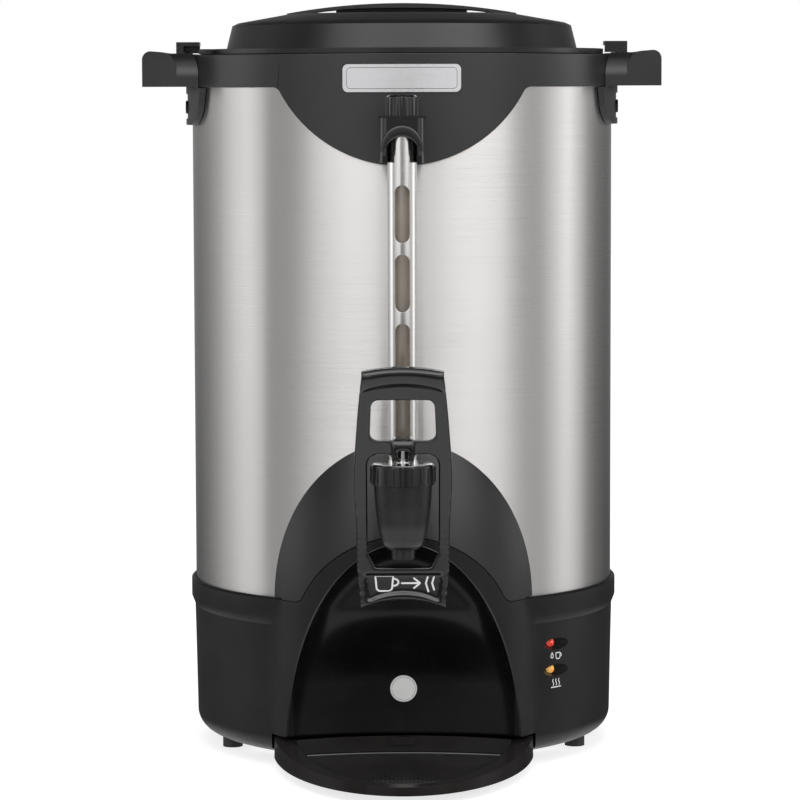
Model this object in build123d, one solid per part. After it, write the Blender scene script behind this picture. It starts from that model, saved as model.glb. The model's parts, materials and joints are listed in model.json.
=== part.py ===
from build123d import *
from math import asin, cos, degrees, pi, radians, sin, sqrt
import os

# Percolating coffee urn with a press tap, sight gauge, twist-lock lid and drip tray.
# Frame: origin on the counter under the tank's axis, +Z up, front (tap side) towards -Y.
# All sizes are in millimetres.

# ---------------------------------------------------------------- fits
gap = 0.3                # air between neighbouring curved faces and under seated pieces
pin_gap = 0.05           # radial running clearance of the lever on its pin
seam_gap = 0.4           # visible joint line between hood and base

# ---------------------------------------------------------------- tank
body_r = 125.0           # outer radius of the tank wall
tank_wall = 1.0
base_top_z = 98.2        # top edge of the base housing
tank_socket = 7.2        # how far the tank stands in the base
tank_len = 314.0         # tank wall from its foot to its rim
floor_rise = 17.0        # tank floor above the wall's foot
floor_thick = 1.2
tank_foot_z = base_top_z - tank_socket
tank_rim_z = tank_foot_z + tank_len
floor_z = tank_foot_z + floor_rise
wall_out = body_r + gap  # inner radius of everything that hugs the tank

# ---------------------------------------------------------------- collar and front shield
collar_thick = 1.9
collar_drop = 13.4       # band below the tank's rim
collar_cap = 5.6         # thickness above the rim
collar_ledge = 13.0      # from the tank's outside in to the opening that the lid closes
shield_r = 78.6          # radius of the shield's round outline
shield_drop = 44.2       # lowest point of the shield below the band
shield_fillet = 5.0
collar_r = wall_out + collar_thick
collar_mouth_r = body_r - collar_ledge
collar_top_z = tank_rim_z + collar_cap
collar_low_z = tank_rim_z - collar_drop

# ---------------------------------------------------------------- badge plate
badge_w = 66.6
badge_h = 15.6
badge_thick = 0.9
badge_corner = 3.0
badge_below_top = 14.0   # badge centre below the collar's top

# ---------------------------------------------------------------- base housing
base_wall = 3.0
base_low_z = 6.5         # underside above the counter
base_out = 0.8           # the base's wall stands out from the tank
base_foot_in = 0.8       # the wall narrows by this much low down
base_round = 12.0        # rounded foot corner
lip_out = 2.7            # the lip stands out from the tank
lip_h = 11.5
lip_taper = 4.8          # the lip's underside slopes back over this height
lip_rise = 0.9           # the lip stands this far above the front joint line
lip_round = 1.2
flange_w = 25.0          # width of the flange round the opening in the underside
flange_thick = 2.5
base_r = body_r + base_out
base_foot_r = body_r - base_foot_in
lip_r = body_r + lip_out
flange_r = body_r - flange_w

# front bump-out that carries the cup recess
bump_r = 87.0
bump_out = 17.6          # how far the bump-out stands in front of the tank
arch_r = 63.0            # joint line between base and hood
arch_z = 75.6
arch_round = 6.0         # rounded turn of the joint line above the lip
bump_low_z = 18.7        # lower edge over the drip tray
bump_y = bump_r - body_r - bump_out

# ---------------------------------------------------------------- cup recess
recess_half_w = 65.5
recess_arch_h = 124.0
recess_arch_z = 9.0
recess_depth = 25.0      # the recess's back lies this far inside the tank's front
recess_bow = 203.5       # radius of the recess's concave back in plan
recess_lean_z = 54.0     # where the back starts to lean forward
recess_roof_rise = 41.5
recess_roof_depth = 60.0 # from the back to the highest point of the roof
recess_tank_wall = 4.0   # from the tank's wall to the surface of the upper recess
recess_nose_r = 14.0     # rounding between the roof and the upper recess
recess_skin = 2.2
disc_r = 7.7
disc_thick = 0.8
disc_z = 45.4
recess_back_y = recess_depth - body_r
recess_front_y = recess_back_y - recess_roof_depth

# ---------------------------------------------------------------- tap hood
hood_skin = 2.5
hood_curve = 263.0       # profile radius of the hood above the base
hood_top_z = 196.0

# ---------------------------------------------------------------- drip tray
tray_half_w = 76.0
tray_reach = 133.0       # half-length of the oval outline
tray_front = 86.0        # how far the tray stands in front of the tank
tray_low_z = 5.0
tray_floor = 2.8
tray_rim_w = 8.0
tray_side_w = 11.0
tray_front_z = 10.0      # rim height at the front
tray_back_z = 17.7       # rim height where it meets the base
tray_back_air = 1.0      # from the recess's back to the tray's back wall
tray_tongue_half_w = 60.0
tray_tongue_thick = 2.6
tray_fin_pitch = 42.0
tray_fin_count = 3
tray_fin_len = 9.0
tray_back_wall = 2.0
tray_tab_half_w = 7.7
tray_tab_h = 4.6
rib_count = 17
rib_pitch = 2.3
rib_w = 1.1
rib_h = 0.7
rib_len = 58.0
rib_set_back = 28.0      # from the tray's front to the ribs
pocket_air = 0.4         # beside the tray
pocket_lip = 3.0         # the pocket's floor starts this far behind the recess's back
pocket_depth = 31.0      # length of the pocket's floor
pocket_wall = 2.5
pocket_end_gap = 3.0     # air behind the tray's tongue
pocket_half_w = tray_half_w + pocket_air
tray_y = tray_reach - body_r - tray_front
tray_back_y = recess_back_y - tray_back_air
pocket_edge_y = recess_back_y + pocket_lip
pocket_back_y = pocket_edge_y + pocket_depth
tray_tongue_y = pocket_back_y - pocket_end_gap
rib_front_y = -body_r - tray_front + rib_set_back
rib_back_y = rib_front_y + rib_len

# ---------------------------------------------------------------- tap
tap_out = 47.2           # from the tank's front to the axis of bonnet, stem and spout
shank_z = 156.0
shank_r = 11.0
shank_bore_r = 5.0
shank_inside = 19.0      # length of the shank inside the tank's outer face
shank_flange_r = 15.6
shank_flange_out = 2.0   # from the tank's front to the flange's seat
shank_flange_thick = 2.0
barrel_top_r = 16.3
barrel_low_r = 11.7
barrel_top_z = 172.5
barrel_low_z = 136.6
chamber_r = 10.6
chamber_low_z = 146.0
neck_r = 14.2
neck_h = 7.5
spout_r = 6.6
spout_low_z = 131.0
outlet_r = 4.4
ring_r = 18.2            # bonnet ring
ring_h = 11.5
ring_rib_count = 20
ring_rib_r = 0.75
bonnet_cap_r = 16.6
bonnet_cap_thick = 2.2
stem_r = 3.2
stem_flat = 2.9          # half-thickness of the stem's eye
pin_z = 192.6
pin_r = 1.5
pin_half_len = 6.6
eye_r = 4.0
seat_cup_r = 8.8
seat_cup_h = 8.0
seat_lip = 1.2
spring_r = 6.4
spring_wire = 0.45
spring_turns = 6
nut_r = 16.0
nut_thick = 7.0
washer_r = 15.0
washer_thick = 1.8
tap_y = -body_r - tap_out
shank_in_y = shank_inside - body_r
shank_flange_y = -body_r - shank_flange_out

# ---------------------------------------------------------------- lever
lever_top_out = 22.8     # top of the lever in front of the stem's axis
lever_top_z = 239.6
lever_mid_out = 0.4
lever_mid_z = 178.0
lever_low_in = 14.8      # foot of the lever behind the stem's axis
lever_low_z = 101.0
lever_thick = 6.0
grip_proud = 2.4         # the grip stands this far in front of the frame
grip_low_z = 224.6       # lower edge of the grip at its ends
grip_arch = 4.3          # rise of that edge in the middle
grip_half_w = 23.8
lever_top_half_w = 22.3
lever_top_drop = 2.6     # the top edge falls this much towards its ends
lever_low_half_w = 23.8
lever_foot_rise = 5.0    # rise of the foot's arched edge
lever_side = {115.0: 25.1, 130.0: 26.1, 145.0: 26.0, 175.7: 27.4, 194.6: 26.4, 218.0: 24.5}
plate_thick = 3.4
plate_sink = 1.5         # the press plate lies this deep between its rails
rail_w = 4.0
upper_win_top_half_w = 17.3
upper_win_low_half_w = 18.4
upper_win_low_z = 197.7
upper_win_top_z = 220.6
upper_win_round = 4.0
lower_win_half_w = 19.8
lower_win_low_half_w = 15.2
lower_win_low_z = 124.9
lower_win_shoulder_z = 133.9
lower_win_top_z = 189.4
lower_win_round = 5.9
lever_top_y = tap_y - lever_top_out
lever_mid_y = tap_y - lever_mid_out
lever_low_y = tap_y + lever_low_in
clevis_half_w = 6.2
clevis_depth = 9.5       # half-length of the legs front to back
clevis_foot = 0.3        # air under the legs' feet
clevis_top = -1.0        # top of the legs below the upper window
clevis_round = 2.0
clevis_slant = 3.0

# ---------------------------------------------------------------- sight gauge
gauge_out = 20.0         # from the tank's front to the gauge's axis
gauge_drop = 39.8        # top of the gauge below the tank's rim
shield_tube_r = 8.2
shield_tube_wall = 0.8
gauge_port_z = 170.0     # top of the tap's gauge port
port_r = 10.6
port_depth = 5.0
glass_seat = 3.0         # the glass stands this far below its shield
glass_r = 5.4
glass_wall = 1.2
slot_w = 8.4
slot_len = 32.0
slot_pitch = 38.55
slot_drop = 28.0         # top of the first slot below the gauge's top
slot_end = 12.0          # least length of tube below the last slot
seal_h = 5.0
bracket_half_w = 12.2
bracket_below = 15.5     # the bracket reaches this far below the gauge's top
bracket_above = 10.7
bracket_plate = 1.4
bracket_plate_over = 1.2
bracket_front = 11.6     # from the gauge's axis to the bracket's front
bracket_arch_half_w = 9.2
knob_r = 9.2
knob_h = 11.2
knob_rib_count = 24
knob_rib_r = 0.5
knob_plug_r = 3.3
knob_plug_len = 5.0
gauge_y = -body_r - gauge_out
gauge_top_z = tank_rim_z - gauge_drop
slot_top_z = gauge_top_z - slot_drop
slot_count = int((slot_top_z - gauge_port_z - slot_end + slot_pitch - slot_len) // slot_pitch)
bracket_low_z = gauge_top_z - bracket_below
bracket_top_z = gauge_top_z + bracket_above
bracket_front_y = gauge_y - bracket_front

# ---------------------------------------------------------------- carry handles and lid locks
handle_out = 26.8        # how far the handle stands out from the tank
handle_half_y = 46.0
handle_rise = 1.0        # top of the handle above the collar
handle_h = 19.6
handle_round = 14.0      # rounded top of the arm
panel_depth_x = 20.0     # flat end panels
panel_corner = 5.0
panel_round = 10.0       # inner top corner of a panel
panel_rise = 1.6         # a panel's top rises outwards
grip_wall = 2.2
grip_out = 6.5           # from the tank to the grip's hollow
grip_half_y = 39.0
grip_roof = 6.1          # thickness over the grip's hollow
leg_thick = 3.4
leg_h = 22.4             # the leg hangs this far below the arm
leg_top_half_y = 52.0
leg_low_half_y = 46.0
leg_round = 17.0
leg_rim_w = 3.5
leg_rim_h = 0.8
screw_r = 2.0
screw_head_r = 3.8
screw_head_h = 2.0
handle_screw_y = 13.0
handle_screw_drop = 12.0 # screws below the arm
screw_seat_out = 1.3     # from the tank to the screw heads' seat
cap_nut_r = 4.4
cap_nut_h = 5.5
lock_over = 4.4          # the lock's tip reaches this far over the tank
lock_out = 9.2           # back of the lock outside the tank
lock_wall = 4.4
lock_half_y = 8.0
lock_stop_in = 4.2       # tip of the lock's end stop inside the tank's outer face
lock_stop_wall = 3.0
lock_plate = 2.4
lock_h = 6.9
lock_peg_r = 2.4
lock_peg_len = 3.5
handle_reach = body_r + handle_out
handle_top_z = collar_top_z + handle_rise
handle_low_z = handle_top_z - handle_h
grip_in_x = body_r + grip_out
handle_recess_z = handle_top_z - grip_roof
leg_low_z = handle_low_z - leg_h
handle_screw_z = handle_low_z - handle_screw_drop
handle_screw_seat_x = body_r + screw_seat_out
lock_x0 = body_r - lock_over
lock_x1 = body_r + lock_out
lock_stop_x = body_r - lock_stop_in

# ---------------------------------------------------------------- lid
lid_flange_over = 8.1    # the flange reaches this far over the collar's ledge
lid_flange_thick = 3.0
lid_ear_over = 14.2
lid_ear_half_deg = 2.0
lid_ear_deg = 22.0       # ears stand this far from the locks when the lid is free
lid_skin = 2.5
drum_low_in = 7.5        # foot of the lid's drum inside the collar's opening
drum_top_in = 11.0
drum_h = 17.2            # heights above the collar's top
cone_in = 14.7
cone_h = 18.9
crown_in = 44.0
crown_h = 24.1
bowl_rim_r = 50.0
bowl_r = 42.0
bowl_depth = 8.4
skirt_drop = 7.0
skirt_wall = 2.4
seal_play = 0.6          # air between the seal and the collar's opening
seal_wall = 1.5
seal_over = 4.0          # the seal's lip reaches this far over the ledge
seal_lip = 1.1
lid_handle_rise = 6.4    # top of the handle above the lid's crown
lid_handle_arc = 388.0
lid_handle_half_w = 14.0
lid_gap_half_len = 54.0
lid_gap_top = 3.7
lid_web_half_w = 3.6
lid_screw_x = 28.0
vent_count = 3
vent_r = 2.0
vent_at_r = 84.0
vent_step_deg = 14.0
lid_flange_r = collar_mouth_r + lid_flange_over
lid_ear_r = collar_mouth_r + lid_ear_over
drum_low_r = collar_mouth_r - drum_low_in
drum_top_r = collar_mouth_r - drum_top_in
drum_top_z = collar_top_z + drum_h
cone_r = collar_mouth_r - cone_in
cone_z = collar_top_z + cone_h
crown_r = collar_mouth_r - crown_in
crown_z = collar_top_z + crown_h
bowl_z = crown_z - bowl_depth
seal_lip_r = collar_mouth_r + seal_over
lid_handle_top_z = crown_z + lid_handle_rise

# ---------------------------------------------------------------- percolator
well_r = 27.6            # inside of the heating well
well_wall = 1.2
well_depth = 13.0
well_flange_r = 34.0
pump_r = 6.0
pump_wall = 0.8
pump_drop = 2.0          # top of the riser below the tank's rim
foot_r = 24.0
foot_h = 14.0
foot_skin = 1.2
basket_drop = 93.0       # the stop that carries the basket, below the rim
basket_stop_r = 10.0
basket_stop_h = 4.0
basket_r = 74.0
basket_h = 66.0
basket_skin = 1.0
sleeve_r = 8.2
sleeve_h = 50.0
basket_holes = 20
hole_rings = 3
hole_edge = 11.0         # outermost ring of holes inside the basket's wall
hole_ring_pitch = 18.5
basket_hole_r = 1.6
cover_rise = 7.0
cover_holes = 16
cover_rings = 2
cover_ring_pitch = 20.0
pump_top_z = tank_rim_z - pump_drop
basket_stop_z = tank_rim_z - basket_drop

# ---------------------------------------------------------------- heating and wiring
ring_element_r = 37.0
ring_element_h = 8.0
warm_r0 = 58.0
warm_r1 = 70.0
warm_h = 4.0
thermostat_r = 9.0
thermostat_h = 10.0
thermostat_y = -48.5
fuse_r = 3.0
fuse_len = 16.0
fuse_x = 48.0
stud_r = 3.0
pan_thick = 2.0
pan_lap = 6.0            # the pan lies this far on the flange
pan_nut_r = 6.0
pan_nut_h = 4.5
pan_screw_lap = 3.2      # screws from the flange's edge
foot_pad_r = 5.9
foot_in = 23.0           # feet inside the tank's outer face
foot_y = 37.0
peg_r = 2.2
peg_len = 4.0
block_w = 34.0
block_d = 14.0
block_h = 16.0
block_in = 16.0          # middle of the block inside the flange's edge
wire_r = 1.4
lead_end = 12.0          # last straight length of a lead below its heater
inlet_w = 27.0
inlet_h = 20.0
inlet_z = 46.0
inlet_depth = 20.0
inlet_wall = 2.0
inlet_flange = 4.0
inlet_flange_thick = 2.0
inlet_out = 0.8          # the inlet's face behind the tank's back
blade_w = 2.0
blade_h = 6.0
blade_len = 14.0
blade_pitch = 7.0
block_y = flange_r - block_in
pan_r = flange_r + pan_lap
pan_screw_r_at = flange_r + pan_screw_lap
foot_x = body_r - foot_in
inlet_out_y = body_r + inlet_out

# ---------------------------------------------------------------- indicator lights
light_deg = 43.0         # the lights' bearing from the front
light_deep = 10.9        # floor of the light recesses inside the tank's outside
light_shift = 3.6        # middle of a recess beside its lens
light_w = 14.2
light_h = 6.8
light_zs = {"brew_lens": 69.4, "warm_lens": 53.9}
light_wall = 2.0
lens_r = 2.35
lens_proud = 5.9         # lens in front of the recess's floor
lens_len = 10.8
board_behind = 2.6       # board behind the lenses
board_thick = 1.6
board_half_w = 8.0
lamp_r = 2.0
post_r = 2.0
post_side = 4.0          # post beside the lenses' line
light_x = body_r * sin(radians(light_deg))
light_mid_x = light_x + light_shift
light_floor_y = light_deep - body_r * cos(radians(light_deg))
lens_front_y = light_floor_y - lens_proud
lens_back_y = lens_front_y + lens_len
board_y = lens_back_y + board_behind

os.makedirs("parts", exist_ok=True)
LOW = (Align.CENTER, Align.CENTER, Align.MIN)
FAR = 600.0              # larger than any piece, for cutting blocks


def keep(name, shape):
    """Writes one sub-part."""
    export_step(shape, "parts/" + name + ".step")


def disc(r, z0, z1, x=0.0, y=0.0):
    """Upright round bar between two heights."""
    return Pos(x, y, z0) * Cylinder(r, z1 - z0, align=LOW)


def tube(r_out, r_in, z0, z1, x=0.0, y=0.0):
    """Upright round tube between two heights."""
    return disc(r_out, z0, z1, x, y) - disc(r_in, z0 - 1, z1 + 1, x, y)


def block(x0, x1, y0, y1, z0, z1):
    """Box between its lowest and highest corners."""
    return Pos((x0 + x1) / 2, (y0 + y1) / 2, (z0 + z1) / 2) * Box(x1 - x0, y1 - y0, z1 - z0)


def bar_y(r, y0, y1, x, z):
    """Round bar along Y."""
    return Pos(x, y0, z) * Rot(-90, 0, 0) * Cylinder(r, y1 - y0, align=LOW)


def bar_x(r, x0, x1, y, z):
    """Round bar along X."""
    return Pos(x0, y, z) * Rot(0, 90, 0) * Cylinder(r, x1 - x0, align=LOW)


def spun(points):
    """Solid of revolution about Z from (radius, height) points."""
    face = make_face(Polyline(*[(r, 0, z) for r, z in points], close=True))
    return revolve(face, Axis.Z)


def front_prism(sketch, y0, y1):
    """Sketch drawn as (x, z), extruded from y0 back to y1."""
    return extrude(Plane.XZ.offset(-y0) * sketch, amount=-(y1 - y0))


def side_prism(sketch, half_w):
    """Sketch drawn as (y, z), extruded both ways along X."""
    return extrude(Plane.YZ * sketch, amount=half_w, both=True)


def mirrored(shape):
    """The same piece on the other side of the urn."""
    return mirror(shape, Plane.YZ)


def knurl(r, count, rib_r, z0, z1, x=0.0, y=0.0):
    """Round ribs on a turned piece."""
    ribs = []
    for i in range(count):
        a = 2 * pi * i / count
        ribs.append(disc(rib_r, z0, z1, x + r * sin(a), y - r * cos(a)))
    return ribs


# ---------------------------------------------------------------- tank and collar
def tank():
    """Stainless wall and floor, with the holes of the shank, well and handle screws."""
    body = tube(body_r, body_r - tank_wall, tank_foot_z, tank_rim_z)
    body += tube(body_r - tank_wall / 2, well_r + well_wall + gap, floor_z, floor_z + floor_thick)
    body -= bar_y(shank_r + gap, -FAR, 0, 0, shank_z)
    for side in (-1, 1):
        for y in (-handle_screw_y, handle_screw_y):
            body -= bar_x(screw_r + gap, side * body_r - 15, side * body_r + 15, y, handle_screw_z)
    return body


def shield_outline():
    """Collar band and the round shield below it, drawn as (x, z)."""
    band = Pos(0, collar_low_z + FAR / 2) * Rectangle(FAR, FAR)
    round_part = Pos(0, collar_low_z - shield_drop + shield_r) * Circle(shield_r)
    outline = band + round_part
    inner = [v for v in outline.vertices() if abs(v.Y - collar_low_z) < 1 and abs(v.X) < shield_r + 1]
    return fillet(inner, shield_fillet)


def top_collar():
    """Black ring over the tank's rim with the shield on its front."""
    shell = tube(collar_r, wall_out, collar_low_z - shield_drop - 1, collar_top_z)
    front = front_prism(shield_outline(), -FAR, 0)
    back = block(-FAR, FAR, 0, FAR, collar_low_z, FAR + collar_top_z)
    ring = shell & (front + back)
    ring += tube(collar_r, collar_mouth_r, tank_rim_z, collar_top_z)
    return ring


def badge_plate():
    """Bare plate, bent to the collar."""
    z = collar_top_z - badge_below_top
    outline = Pos(0, z) * RectangleRounded(badge_w, badge_h, badge_corner)
    r0 = collar_r + gap / 3
    shell = tube(r0 + badge_thick, r0, z - badge_h, z + badge_h)
    return shell & front_prism(outline, -FAR, 0)


# ---------------------------------------------------------------- base
def base_barrel(inset):
    """Round body of the base with its rounded foot, moved inwards by inset."""
    low = base_low_z + (flange_thick if inset else 0)
    top = base_top_z + (2 if inset else 0)
    outline = make_face(Polyline(
        (0, low), (base_foot_r - inset, low), (base_r - inset, base_top_z - lip_h),
        (base_r - inset, top), (0, top), close=True,
    ))
    foot = [v for v in outline.vertices() if v.Y < low + 1 and v.X > 1]
    outline = fillet(foot, base_round - inset / 2)
    return revolve(Plane.XZ * outline, Axis.Z)


def arch(grow):
    """Region under the joint line of base and hood, drawn as (x, z)."""
    low = Pos(0, base_top_z + grow - FAR / 2) * Rectangle(FAR, FAR)
    region = low + Pos(0, arch_z) * Circle(arch_r + grow)
    turns = [v for v in region.vertices() if abs(v.Y - base_top_z - grow) < 1 and abs(v.X) < arch_r]
    return fillet(turns, arch_round - grow)


def bump(inset, grow):
    """Round-fronted bump-out up to the joint line."""
    body = disc(bump_r - inset, bump_low_z, base_top_z + arch_r, 0, bump_y)
    body &= front_prism(arch(grow), -FAR, bump_y - 20)
    return body


def niche(grow):
    """Cup space: arch seen from the front, concave in plan, leaning forward at the top."""
    front = Ellipse(recess_half_w + grow, recess_arch_h + grow)
    front = Pos(0, recess_arch_z) * front & Pos(0, FAR / 2) * Rectangle(FAR, FAR)
    plan = disc(recess_bow + grow, -1, FAR, 0, recess_back_y - recess_bow)
    back_y = recess_back_y + grow
    roof = Pos(recess_front_y, recess_lean_z) * Ellipse(
        back_y - recess_front_y, recess_roof_rise + grow
    )
    roof += Pos((back_y - FAR) / 2, recess_lean_z / 2) * Rectangle(back_y + FAR, recess_lean_z)
    side = side_prism(roof & Pos(0, FAR / 2) * Rectangle(2 * FAR, FAR), FAR / 2)
    # above the roof the recess is a shallow step in front of the tank
    r = wall_out + recess_tank_wall - grow
    step = block(-FAR, FAR, -FAR, recess_back_y, recess_lean_z, FAR) - disc(r, 0, FAR)
    space = plan & side
    space += step
    nose = [
        e for e in space.edges()
        if abs(e.center().X) < 1 and abs(e.center().Y + r) < 4 and e.center().Z > recess_lean_z + 20
    ]
    space = fillet(nose, recess_nose_r - grow)
    return front_prism(front, -FAR, 0) & space


def light_slot(grow):
    """Outlines of the two indicator recesses, drawn as (x, z)."""
    slots = Sketch()
    for z in light_zs.values():
        one = Ellipse(light_w / 2 + grow, light_h / 2 + grow)
        slots += Pos(light_mid_x, z) * one
    return slots


def inlet_opening(grow, y0, y1):
    """Space of the rear inlet's body."""
    w = inlet_w / 2 + grow
    h = inlet_h / 2 + grow
    return block(-w, w, y0, y1, inlet_z - h, inlet_z + h)


def pocket_floor_z():
    """Top of the pocket's floor, which the tray's tongue slides on."""
    return base_low_z + flange_thick


def pocket_space():
    """Room for the tray under the bump-out, with a floor behind the dish."""
    w = pocket_half_w
    front = block(-w, w, -FAR, pocket_edge_y, 0, bump_low_z)
    return front + block(-w, w, pocket_edge_y - 1, pocket_back_y, pocket_floor_z(), bump_low_z)


def base_housing():
    """Moulded base: wall, lip, bump-out, tray pocket and light recesses."""
    outer = base_barrel(0)
    lip_z = base_top_z + lip_rise
    lip = spun([
        (body_r - base_wall, lip_z - lip_h), (base_r, lip_z - lip_h - lip_taper), (lip_r, lip_z - lip_h),
        (lip_r, lip_z - lip_round), (lip_r - lip_round, lip_z), (body_r - base_wall, lip_z),
    ])
    # the lip fades into the bump-out, which stands further forward
    outer += lip
    outer += bump(0, 0)
    inner = base_barrel(base_wall)
    inner += bump(base_wall, -base_wall) & block(-FAR, FAR, -FAR, FAR, bump_low_z + pocket_wall, FAR)
    # the tray's pocket keeps its own roof, sides and back
    room = block(
        -pocket_half_w - pocket_wall, pocket_half_w + pocket_wall,
        -FAR, pocket_back_y + pocket_wall, 0, bump_low_z + pocket_wall,
    )
    cups = front_prism(light_slot(light_wall), -FAR, light_floor_y + light_wall)
    shell = outer - (inner - room - (cups & outer))
    shell -= pocket_space()
    shell -= disc(flange_r, 0, base_low_z + flange_thick + 0.01) - room
    shell -= disc(wall_out, tank_foot_z, FAR)
    shell -= niche(recess_skin + gap)
    shell -= front_prism(light_slot(0), -FAR, light_floor_y)
    for z in light_zs.values():
        shell -= bar_y(lens_r + gap, light_floor_y - 1, light_floor_y + 4, light_x, z)
    # a post behind the light recesses carries the lamp board
    z_mid = sum(light_zs.values()) / len(light_zs)
    post_y = light_floor_y + light_wall
    shell += bar_y(post_r, post_y - light_wall / 2, board_y, light_x + post_side, z_mid)
    bridge_h = max(light_zs.values()) - min(light_zs.values()) - light_h
    shell += block(
        light_x - lens_r, light_x + post_side + post_r, light_floor_y, post_y,
        z_mid - bridge_h / 2 - light_wall / 2, z_mid + bridge_h / 2 + light_wall / 2,
    )
    shell -= inlet_opening(gap, inlet_out_y - inlet_depth - 1, FAR)
    for x, y in foot_places():
        shell -= disc(peg_r + gap, 0, base_low_z + peg_len + gap, x, y)
    for x, y in pan_screw_places():
        shell -= disc(screw_r + gap, 0, base_low_z + flange_thick + 1, x, y)
        shell -= disc(screw_head_r + gap, 0, base_low_z + screw_head_h * 0.7, x, y)
    return biggest(shell)


def biggest(shape):
    """Largest solid of a shape, without crumbs that a cut may leave."""
    return max(shape.solids(), key=lambda s: s.volume)


def splash_panel():
    """Glossy liner of the cup recess."""
    skin = niche(recess_skin) - niche(0)
    front = disc(bump_r, bump_low_z, FAR, 0, bump_y)
    return biggest(skin & front)


def recess_disc():
    """Bare round plate on the recess's back wall."""
    centre_y = recess_back_y
    plate = bar_y(disc_r, centre_y - 20, centre_y + 20, 0, disc_z)
    bow = recess_bow - gap / 3
    shell = tube(bow, bow - disc_thick, disc_z - 20, disc_z + 20, 0, recess_back_y - recess_bow)
    return biggest(plate & shell & block(-FAR, FAR, centre_y - 20, 0, 0, FAR))


def tap_hood():
    """Domed cover between the tank and the tap."""
    def dome(inset):
        r = bump_r - inset
        top_r = r - (hood_curve - sqrt(hood_curve**2 - (hood_top_z - base_top_z) ** 2))
        line = Line((0, base_top_z - 5), (r, base_top_z - 5))
        side = Line(line @ 1, (r, base_top_z))
        mid_z = (base_top_z + hood_top_z) / 2
        mid_r = r - (hood_curve - sqrt(hood_curve**2 - (mid_z - base_top_z) ** 2))
        curve = ThreePointArc(side @ 1, (mid_r, mid_z), (top_r, hood_top_z))
        top = Line(curve @ 1, (0, hood_top_z))
        close = Line(top @ 1, line @ 0)
        face = Plane.XZ * make_face([line, side, curve, top, close])
        return Pos(0, bump_y, 0) * revolve(face, Axis.Z)

    shell = dome(0) - dome(hood_skin)
    shell &= block(-FAR, FAR, -FAR, bump_y - 10, base_top_z + seam_gap, FAR)
    shell -= disc(wall_out, 0, FAR)
    shell -= front_prism(arch(seam_gap), -FAR, 0)
    shell -= disc(lip_r + gap, 0, base_top_z + lip_rise + gap)
    shell -= bar_y(shank_r + 2 * gap, -FAR, 0, 0, shank_z)
    shell -= disc(port_r + 2 * gap, shank_z, FAR, 0, gauge_y)
    return biggest(shell)


# ---------------------------------------------------------------- underside
def foot_places():
    """Centres of the four feet."""
    return [(sx * foot_x, sy * foot_y) for sx in (-1, 1) for sy in (-1, 1)]


def pan_screw_places():
    """Centres of the pan's screws."""
    angles = (30, 90, 150, 210, 330)
    return [(pan_screw_r_at * cos(radians(a)), pan_screw_r_at * sin(radians(a))) for a in angles]


def rubber_feet():
    """Four soft feet with pegs in the base."""
    feet = Part()
    for x, y in foot_places():
        feet += disc(foot_pad_r, 0, base_low_z, x, y) + disc(peg_r, 0, base_low_z + peg_len, x, y)
    return feet


def base_pan():
    """Sheet that closes the underside, with cooling slots."""
    z0 = base_low_z + flange_thick
    pan = disc(pan_r, z0, z0 + pan_thick)
    edge = pocket_back_y + pocket_wall + gap
    pan -= block(-pocket_half_w - pocket_wall - gap, pocket_half_w + pocket_wall + gap, -FAR, edge, 0, FAR)
    pan -= disc(stud_r + gap, 0, FAR)
    for x, y in pan_screw_places():
        pan -= disc(screw_r + gap, 0, FAR, x, y)
    for i in range(6):
        slot = Pos(-50 + 20 * i, 35) * SlotOverall(24, 4, rotation=90)
        pan -= extrude(Pos(0, 0, z0 - 1) * slot, amount=pan_thick + 2)
    return pan


def base_screws():
    """Screws that hold the pan on the base's flange."""
    screws = Part()
    for x, y in pan_screw_places():
        z0 = base_low_z + screw_head_h * 0.7 - screw_head_h * 0.6
        screws += disc(screw_head_r, z0, base_low_z + screw_head_h * 0.7, x, y)
        screws += disc(screw_r, z0, base_low_z + flange_thick + pan_thick + 2, x, y)
    return screws


def tie_stud():
    """Stud from the heating well down to the pan."""
    z0 = base_low_z + 0.6
    return disc(stud_r, z0, floor_z - well_depth - well_wall)


def tie_nut():
    """Nut of the tie stud, under the pan."""
    z1 = base_low_z + flange_thick
    z0 = z1 - pan_nut_h / 2.5
    nut = extrude(Pos(0, 0, z0) * RegularPolygon(pan_nut_r, 6), amount=z1 - z0)
    return nut - disc(stud_r + gap, 0, FAR)


# ---------------------------------------------------------------- heating and wiring
def heating_well():
    """Cup in the middle of the tank floor."""
    z0 = floor_z - well_depth
    cup = tube(well_r + well_wall, well_r, z0, floor_z + floor_thick)
    cup += disc(well_r + well_wall, z0 - well_wall, z0)
    cup += tube(well_flange_r, well_r, floor_z - well_wall, floor_z)
    return cup


def brew_element():
    """Ring heater clamped round the well, with two terminals."""
    z1 = floor_z - well_wall - gap
    z0 = z1 - ring_element_h
    ring = tube(ring_element_r, well_r + well_wall + gap, z0, z1)
    for x in (-8, 8):
        ring += block(x - 2, x + 2, ring_element_r - 1, ring_element_r + 8, z0 + 2, z0 + 4)
    return ring


def warm_element():
    """Flat ring heater under the tank floor."""
    ring = tube(warm_r1, warm_r0, floor_z - warm_h, floor_z)
    for x in (-8, 8):
        ring += block(x - 2, x + 2, warm_r1 - 1, warm_r1 + 6, floor_z - warm_h, floor_z - warm_h + 2)
    return ring


def thermostat():
    """Disc thermostat on the tank floor."""
    body = disc(thermostat_r, floor_z - thermostat_h, floor_z, 0, thermostat_y)
    for x in (-4, 4):
        body += block(
            x - 1.5, x + 1.5, thermostat_y - 1, thermostat_y + 1,
            floor_z - thermostat_h - 7, floor_z - thermostat_h,
        )
    return body


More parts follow.
